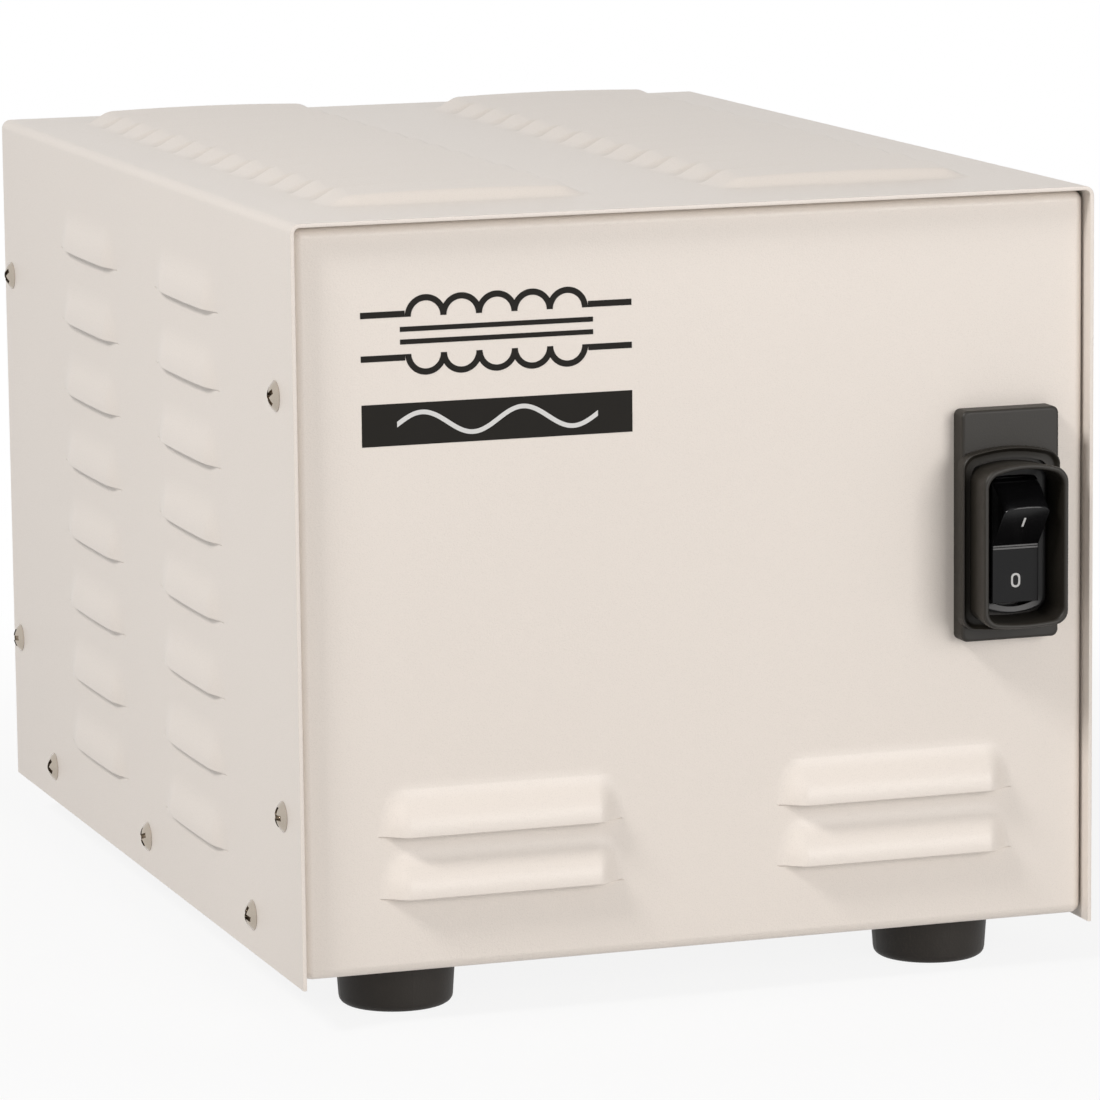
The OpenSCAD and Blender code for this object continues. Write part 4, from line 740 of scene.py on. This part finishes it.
boot = loft("boot", (rim_x, 0, pivot_z),
            [(rim_w + grow * mm, rim_h + grow * mm, panel_y - out * mm) for grow, out in shroud_profile],
            along=1, radius=rim_radius, bows=rim_bows)
cut_away(guard, collar, "UNION")
cut_away(guard, boot, "UNION")
bpy.ops.mesh.primitive_cube_add(size=1, location=(switch_x, panel_y, pivot_z), scale=breaker_hole)
cut_away(guard, bpy.context.active_object)
soften(guard, 0)
finish_piece(guard, guard_rubber, "case", "guard_rubber", "switch_guard")


# Bezel of the rocker breaker: a glossy moulded frame that the rocker sits in, its ends slightly arched.
black_gloss = moulded("black_gloss", (0.005, 0.005, 0.0055), 0.16, grain=1.5 * mm, depth=0.003 * mm,
                      shine=0.25)
black_satin = moulded("black_satin", (0.012, 0.012, 0.012), 0.34, grain=0.8 * mm, depth=0.01 * mm,
                      shine=0.3)
bezel_w, bezel_h, bezel_face = 17 * mm, 35.6 * mm, breaker_low.y
bezel_back, bezel_edge, bezel_slope = breaker_high.y, 0.25 * mm, 0.3 * mm
way_w, way_h, slope_w = 12.7 * mm, 32.5 * mm, 1.1 * mm
bezel_r, bezel_bows = 1.6 * mm, (0.6 * mm, 1.8 * mm)
bezel_rings = [(bezel_w, bezel_h, bezel_back), (bezel_w, bezel_h, bezel_face + bezel_edge),
               (bezel_w - 0.6 * bezel_edge, bezel_h - 0.6 * bezel_edge, bezel_face + 0.3 * bezel_edge),
               (bezel_w - 2 * bezel_edge, bezel_h - 2 * bezel_edge, bezel_face),
               (way_w + 2 * slope_w, way_h + 2 * slope_w, bezel_face),
               (way_w, way_h, bezel_face + bezel_slope), (way_w, way_h, bezel_back - merge_gap)]
bezel = loft("rocker_bezel", (switch_x, 0, pivot_z), bezel_rings, along=1, radius=bezel_r,
             bows=bezel_bows, through=True)
soften(bezel, 0)
finish_piece(bezel, black_satin, "case", "rocker_plastic", "breaker_bezel")


# Rocker: a glossy moulded lever with two faces. The upper face stands out of the bezel and has an arched
# far edge with a small flat along it, the lower lies parallel to the panel, and two fine ridges with a
# groove between them run across the bend.
rocker_travel, rocker_proud, valley = math.radians(37), 9.4 * mm, 4 * mm
pivot_y = panel_y - rocker_proud + valley * math.cos(rocker_travel / 2)
rocker_w, rocker_face, rocker_back = 12 * mm, 13.6 * mm, 4.5 * mm
ridge_h, ridge_out, ridge_lean, groove_h = 0.42 * mm, 0.13 * mm, 0.06 * mm, 0.22 * mm
edge_flat, edge_share, wall_run = 0.4 * mm, 0.75, 6.5 * mm
edge_lean = ridge_out / ridge_h
crease_y, crease_z = panel_y - rocker_proud, pivot_z - valley * math.sin(rocker_travel / 2)
far_y = crease_y - rocker_face * math.sin(rocker_travel)
far_z = crease_z + rocker_face * math.cos(rocker_travel)
sweep_r = math.hypot(far_y - pivot_y, far_z - pivot_z)


def round_pivot(start, end, steps):
    """Points on the circle that the rocker's ends sweep, between two angles about the pivot"""
    return [(pivot_y + sweep_r * math.cos(start + (end - start) * i / steps),
             pivot_z + sweep_r * math.sin(start + (end - start) * i / steps)) for i in range(steps + 1)]


low_angle = math.atan2(crease_z - rocker_face - pivot_z, crease_y - pivot_y)
back_angle = math.acos(rocker_back / sweep_r)
ridge_foot = [(crease_y, crease_z + groove_h / 2 + ridge_h)]
far_out = Vector((0, -math.sin(rocker_travel), math.cos(rocker_travel)))
edge_start = Vector((0, far_y, far_z)) - far_out * edge_share * edge_flat
edge_end = edge_start + Vector((0, math.sin(edge_lean), math.cos(edge_lean))) * edge_flat
wall_end = edge_end + Vector((0, math.cos(rocker_travel), math.sin(rocker_travel))) * wall_run
wall_angle = math.atan2(wall_end.z - pivot_z, wall_end.y - pivot_y)
profile = ridge_foot + [(spot.y, spot.z) for spot in (edge_start, edge_end, wall_end)]
profile += round_pivot(wall_angle, back_angle, 6)[1:] + round_pivot(-back_angle, low_angle, 6)
for foot_z in (crease_z - groove_h / 2 - ridge_h, crease_z + groove_h / 2):
    profile += [(crease_y, foot_z - ridge_lean), (crease_y - ridge_out, foot_z)]
    profile += [(crease_y, foot_z + ridge_h)] if foot_z < crease_z - ridge_h else []
bpy.ops.mesh.primitive_circle_add(vertices=len(profile), radius=1, fill_type="NGON")
rocker = bpy.context.active_object
rocker.name = "rocker_lever"
for vert, (y, z) in zip(rocker.data.vertices, profile):
    vert.co = (switch_x - rocker_w / 2, y, z)
bpy.ops.object.mode_set(mode="EDIT")
bpy.ops.mesh.select_all(action="SELECT")
push(x=rocker_w)
bpy.ops.mesh.select_all(action="SELECT")
bpy.ops.mesh.normals_make_consistent(inside=False)
end_steps = 12
cut_lines(0, [switch_x + rocker_w / 2 * math.sin(quarter * (2 * i / end_steps - 1))
              for i in range(1, end_steps)])
bpy.ops.object.mode_set(mode="OBJECT")
arch_far, corner_far, arch_foot, corner_from = 0.6 * mm, 1.2 * mm, 3 * mm, 0.75
rocker_edge = 0.07 * mm
for vert in rocker.data.vertices:
    off = abs(vert.co.x - switch_x) / (rocker_w / 2)
    reach = (vert.co.z - crease_z - arch_foot) / (far_z - crease_z - arch_foot)
    if vert.co.y < pivot_y and reach > 0:
        fade = (pivot_y - vert.co.y) / (pivot_y - far_y)
        corner_share = max(off - corner_from, 0) / (1 - corner_from)
        inward = (arch_far * off ** 2 + corner_far * corner_share ** 2) * min(reach, 1) * fade
        vert.co.y += inward * math.sin(rocker_travel)
        vert.co.z -= inward * math.cos(rocker_travel)
soften(rocker, rocker_edge, segments=2, angle=34)
finish_piece(rocker, black_gloss, "rocker", "rocker_plastic", "rocker")

# Marks of the rocker: a white bar on the upper face and a white ring on the lower, printed in thick ink.
white_ink = moulded("white_ink", (0.66, 0.66, 0.65), 0.5, depth=0.004 * mm, spread=0.03)
ink_t = 0.16 * mm
bar_w, bar_h, bar_up = 0.55 * mm, 3.0 * mm, 8.0 * mm
ring_w, ring_h, ring_stroke, ring_down = 2.4 * mm, 3.5 * mm, 0.5 * mm, 8.2 * mm
ring_r, film = 1.1 * mm, 0.001 * mm
bpy.ops.mesh.primitive_cube_add(size=1, location=(0, 0, 0), scale=(bar_w, ink_t, bar_h))
bar = bpy.context.active_object
bar.name = "rocker_on_mark"
face_foot = Vector((switch_x, *ridge_foot[0]))
up_face = (Vector((switch_x, edge_start.y, edge_start.z)) - face_foot).normalized()
out_of_face = up_face.cross(Vector((1, 0, 0)))
lay(bar, Vector((1, 0, 0)), -out_of_face, up_face, face_foot + up_face * bar_up)
soften(bar, 0)
finish_piece(bar, white_ink, "rocker", "lead_white")
ring_rings = [(ring_w, ring_h, crease_y), (ring_w, ring_h, crease_y - ink_t / 2),
              (ring_w - 2 * ring_stroke, ring_h - 2 * ring_stroke, crease_y - ink_t / 2),
              (ring_w - 2 * ring_stroke, ring_h - 2 * ring_stroke, crease_y - film)]
ring = loft("rocker_off_mark", (switch_x, 0, crease_z - ring_down), ring_rings, along=1,
            radius=ring_r, through=True)
soften(ring, 0)
finish_piece(ring, white_ink, "rocker", "lead_white")


# Printing on the front panel: the drawing sign of two coils with core lines between them, above a solid
# bar that carries one white wave. It is screen printed, so it lies on the paint as a thin film.
black_ink = moulded("black_ink", (0.0105, 0.009, 0.007), 0.5, grain=0.5 * mm, depth=0.02 * mm, spread=0.05,
                    shine=0.12)
print_t = 0.05 * mm
print_x, print_w = -50.3 * mm, 67.4 * mm
sign_z, bar_z, bar_tall = 166 * mm, 145 * mm, 10 * mm
coil_r, stroke, loops, coil_off = 4.4 * mm, 1.5 * mm, 5, 3.6 * mm
coil_lift, core_off, core_over, core_share = 0.8 * mm, 1.5 * mm, 4 * mm, 0.8


def printed_bar(x, z, width, height):
    bpy.ops.mesh.primitive_cube_add(size=1, location=(x, panel_y - print_t / 2, z),
                                    scale=(width, print_t, height))
    made = bpy.context.active_object
    bpy.ops.object.transform_apply(location=True, rotation=True, scale=True)
    return made


def printed_loop(x, z, side, first, last):
    """Half of a ring, above or below a coil's line, cut where the next one joins it"""
    made = loft("loop", (x, 0, z), [(2 * coil_r + stroke,) * 2 + (panel_y,),
                                    (2 * coil_r + stroke,) * 2 + (panel_y - print_t,),
                                    (2 * coil_r - stroke,) * 2 + (panel_y - print_t,),
                                    (2 * coil_r - stroke,) * 2 + (panel_y - film,)],
                along=1, through=True)
    bpy.ops.object.mode_set(mode="EDIT")
    bpy.ops.mesh.select_all(action="SELECT")
    bpy.ops.mesh.bisect(plane_co=(0, 0, z), plane_no=(0, 0, side), clear_inner=True, use_fill=True)
    for end, whole in ((-1, first), (1, last)):
        if not whole:
            bpy.ops.mesh.select_all(action="SELECT")
            bpy.ops.mesh.bisect(plane_co=(x + end * coil_r, 0, 0), plane_no=(end, 0, 0), clear_outer=True,
                                use_fill=True)
    bpy.ops.object.mode_set(mode="OBJECT")
    return made


coil_w = loops * 2 * coil_r
lead_w = (print_w - coil_w - stroke) / 2
sign = [printed_bar(print_x, bar_z, print_w, bar_tall)]
for side in (-1, 1):
    line_z = sign_z + side * (coil_off + coil_lift)
    sign.append(printed_bar(print_x, sign_z + side * core_off, coil_w + core_over, stroke * core_share))
    for i in range(loops):
        sign.append(printed_loop(print_x + (i - (loops - 1) / 2) * 2 * coil_r, line_z, side, i == 0,
                                 i == loops - 1))
    for end in (-1, 1):
        lead_x = print_x + end * (coil_w + stroke + lead_w) / 2
        sign.append(printed_bar(lead_x, line_z + side * stroke / 2, lead_w, stroke))
only(sign[0])
for part in sign:
    part.select_set(True)
bpy.ops.object.join()
sign[0].name = "front_print"
soften(sign[0], 0)
finish_piece(sign[0], black_ink, "case", "lead_black")

wave_l, wave_up, wave_turns, wave_stroke, wave_t, wave_steps = 50 * mm, 2.7 * mm, 2, 1.1 * mm, 0.02 * mm, 72
bpy.ops.mesh.primitive_grid_add(x_subdivisions=wave_steps, y_subdivisions=1, size=1, rotation=(quarter, 0, 0))
wave = bpy.context.active_object
wave.name = "front_print_wave"
wave.scale = (wave_l, 1, 1)
bpy.ops.object.transform_apply(location=True, rotation=True, scale=True)
for vert in wave.data.vertices:
    swing = 2 * math.pi * wave_turns * vert.co.x / wave_l
    lean = math.hypot(1, wave_up * 2 * math.pi * wave_turns / wave_l * math.cos(swing))
    vert.co = (print_x + vert.co.x, panel_y - print_t,
               bar_z + wave_up * math.sin(swing) + math.copysign(wave_stroke / 2 * lean, vert.co.z))
bpy.ops.object.mode_set(mode="EDIT")
bpy.ops.mesh.select_all(action="SELECT")
push(y=-wave_t)
bpy.ops.mesh.select_all(action="SELECT")
bpy.ops.mesh.normals_make_consistent(inside=False)
bpy.ops.object.mode_set(mode="OBJECT")
soften(wave, 0)
finish_piece(wave, white_ink, "case", "lead_white")


# Screws of the cover and the outlets: nickel plated steel with a stamped pan head and a cross
# recess. One is made and copied to each place, turned to a different stop as screws are.
def metal(name, colour, roughness, stretch=(1, 1, 1), grain=0.5 * mm, depth=0.01 * mm):
    made = Finish(name)
    cloud = made.noise(6 * mm, detail=3.0)
    lines = made.noise(grain, detail=3.0, stretch=stretch)
    tone = made.blend(cloud, tuple(c * 0.86 for c in colour), colour)
    polish = lines * 0.14 + cloud * 0.08 + (roughness - 0.1)
    return made.surface(Base_Color=tone, Metallic=1.0, Roughness=polish, Normal=made.bump(lines, depth, 0.5))


nickel = metal("nickel", (0.50, 0.44, 0.37), 0.13)
head_d, head_h, shank_d, shank_l = 7.5 * mm, 1.98 * mm, 3.4 * mm, 7.8 * mm
tip_less, tip_l, under_less, head_wall, dome_steps = 0.6 * mm, 0.4 * mm, 0.2 * mm, 0.12 * mm, 9
cross_l, cross_w, cross_deep = 4.7 * mm, 1.3 * mm, 1.45 * mm
screw_stop, screw_edge, weld = 0.65, 0.06 * mm, 0.002 * mm
dome_r = ((head_d / 2) ** 2 + head_h ** 2) / (2 * head_h)
dome_angle = math.asin(head_d / 2 / dome_r)
screw_rings = [(shank_d - tip_less,) * 2 + (-shank_l,), (shank_d,) * 2 + (tip_l - shank_l,),
               (shank_d,) * 2 + (0.0,), (head_d - under_less,) * 2 + (0.0,), (head_d,) * 2 + (head_wall,)]
for i in range(1, dome_steps):
    lean_out = dome_angle * (1 - i / dome_steps)
    screw_rings.append((2 * dome_r * math.sin(lean_out),) * 2 + (head_h - dome_r * (1 - math.cos(lean_out)),))
screw = loft("pan_screw", (0, 0, 0), screw_rings)
for turn in (0, quarter):
    bpy.ops.mesh.primitive_cube_add(size=1, location=(0, 0, head_h), rotation=(0, 0, turn),
                                    scale=(cross_l, cross_w, 2 * cross_deep))
    cut_away(screw, bpy.context.active_object)
soften(screw, screw_edge, segments=1, angle=32)


def copy_screws(node, axis):
    """Sets a copy of the screw at each place where the node has one, its head outwards along X or Y"""
    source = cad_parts[node]
    pattern = bpy.data.objects.new("pattern", source.data.copy())
    bpy.context.scene.collection.objects.link(pattern)
    only(pattern)
    bpy.ops.object.mode_set(mode="EDIT")
    bpy.ops.mesh.select_all(action="SELECT")
    bpy.ops.mesh.remove_doubles(threshold=weld)
    bpy.ops.mesh.separate(type="LOOSE")
    bpy.ops.object.mode_set(mode="OBJECT")
    spots = []
    for part in list(bpy.context.selected_objects):
        corners = [Vector(v.co) for v in part.data.vertices]
        low = Vector([min(c[k] for c in corners) for k in range(3)])
        high = Vector([max(c[k] for c in corners) for k in range(3)])
        spot, way = (low + high) / 2, Vector((0, 0, 0))
        way[axis] = math.copysign(1, spot[axis])
        spot[axis] = (high if way[axis] > 0 else low)[axis] - way[axis] * head_h
        spots.append((spot, way))
        bpy.data.objects.remove(part)
    copies = []
    for spot, way in sorted(spots, key=lambda pair: tuple(round(value, 5) for value in pair[0])):
        piece = bpy.data.objects.new(node + "_made", screw.data.copy())
        bpy.context.scene.collection.objects.link(piece)
        stop = screw_stop * len(copies)
        first = Vector((0, 0, 1)) * math.cos(stop) + way.cross(Vector((0, 0, 1))) * math.sin(stop)
        lay(piece, first, way.cross(first), way, spot)
        copies.append(piece)
    only(copies[0])
    for piece in copies:
        piece.select_set(True)
    bpy.ops.object.join()
    finish_piece(copies[0], nickel, "case", "nickel_screw", node)


copy_screws("cover_screws", 0)
copy_screws("outlet_screws", 1)
bpy.data.objects.remove(screw)


# Outlets, straps and the gland at the back: bought parts, which keep the frame's shape and get the small
# rounded edges that pressed and moulded parts have.
def edged(node, material, slot, edge, angle=38):
    """A copy of a node with its sharp edges rounded, which stands for it"""
    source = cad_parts[node]
    piece = bpy.data.objects.new(node + "_made", source.data.copy())
    bpy.context.scene.collection.objects.link(piece)
    only(piece)
    bpy.ops.object.mode_set(mode="EDIT")
    bpy.ops.mesh.select_all(action="SELECT")
    bpy.ops.mesh.remove_doubles(threshold=weld)
    bpy.ops.mesh.dissolve_limited(angle_limit=math.radians(1))
    bpy.ops.object.mode_set(mode="OBJECT")
    soften(piece, edge, angle=angle)
    finish_piece(piece, material, "case", slot, node)


def dress(nodes, material):
    """Gives carried over nodes a finish of their own"""
    for name in nodes:
        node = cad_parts[name]
        node.data.materials.clear()
        node.data.materials.append(material)


zinc = metal("zinc", (0.62, 0.64, 0.66), 0.36)
steel = metal("steel", (0.55, 0.56, 0.58), 0.3)
brass = metal("brass", (0.78, 0.6, 0.3), 0.3)
copper = metal("copper", (0.82, 0.45, 0.28), 0.3)
black_matte = moulded("black_matte", (0.022, 0.022, 0.023), 0.5)
outlet_plastic = moulded("outlet_plastic", (0.022, 0.022, 0.024), 0.32, depth=0.008 * mm)
seal_rubber = moulded("seal_rubber", (0.015, 0.015, 0.015), 0.65)
nylon = moulded("nylon", (0.72, 0.68, 0.56), 0.45)
block_plastic = moulded("block_plastic", (0.78, 0.77, 0.72), 0.4)
paper = moulded("paper", (0.72, 0.55, 0.2), 0.4, grain=1.2 * mm, depth=0.08 * mm, spread=0.2)
black_lead = moulded("black_lead", (0.02, 0.02, 0.022), 0.35)
white_lead = moulded("white_lead", (0.72, 0.71, 0.68), 0.35)
green_lead = moulded("green_lead", (0.03, 0.25, 0.08), 0.35)
laminated = metal("laminated", (0.24, 0.25, 0.28), 0.42, stretch=(0.05, 1.4, 0.05))
wire = metal("wire", (0.6, 0.28, 0.12), 0.3, stretch=(0.05, 0.05, 1.2))

for column in ("left", "middle", "right"):
    edged("outlet_" + column, outlet_plastic, "outlet_plastic", edge=0.3 * mm)
    edged("outlet_strap_" + column, steel, "strap_steel", edge=0.15 * mm)
for node in ("gland_body", "gland_cap", "gland_locknut"):
    edged(node, black_matte, "gland_plastic", edge=0.35 * mm)
dress(["foot_screws", "foot_washers", "foot_nuts", "core_bolts", "core_nuts", "mount_bolts", "mount_nuts",
       "bracket_front", "bracket_rear", "clamp_front", "clamp_rear"], zinc)
dress(["rocker_pin", "arm_pin", "trip_core", "plunger_spring", "breaker_clips"], steel)
dress(["load_terminal", "line_terminal", "breaker_rivets", "outlet_contacts", "ground_stud", "ground_nuts",
       "terminal_screws"], brass)
dress(["contact_arm", "earth_screen"], copper)
dress(["primary_winding", "secondary_winding", "trip_coil"], wire)
dress(["core_e_stack", "core_i_stack"], laminated)
dress(["bobbin", "plunger"], nylon)
dress(["winding_wrap"], paper)
dress(["terminal_block"], block_plastic)
dress(["breaker_case_left", "breaker_case_right"], black_matte)
dress(["gland_seal"], seal_rubber)
dress(["supply_leads"], black_lead)
dress(["output_leads"], white_lead)
dress(["ground_lead"], green_lead)

low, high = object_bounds()
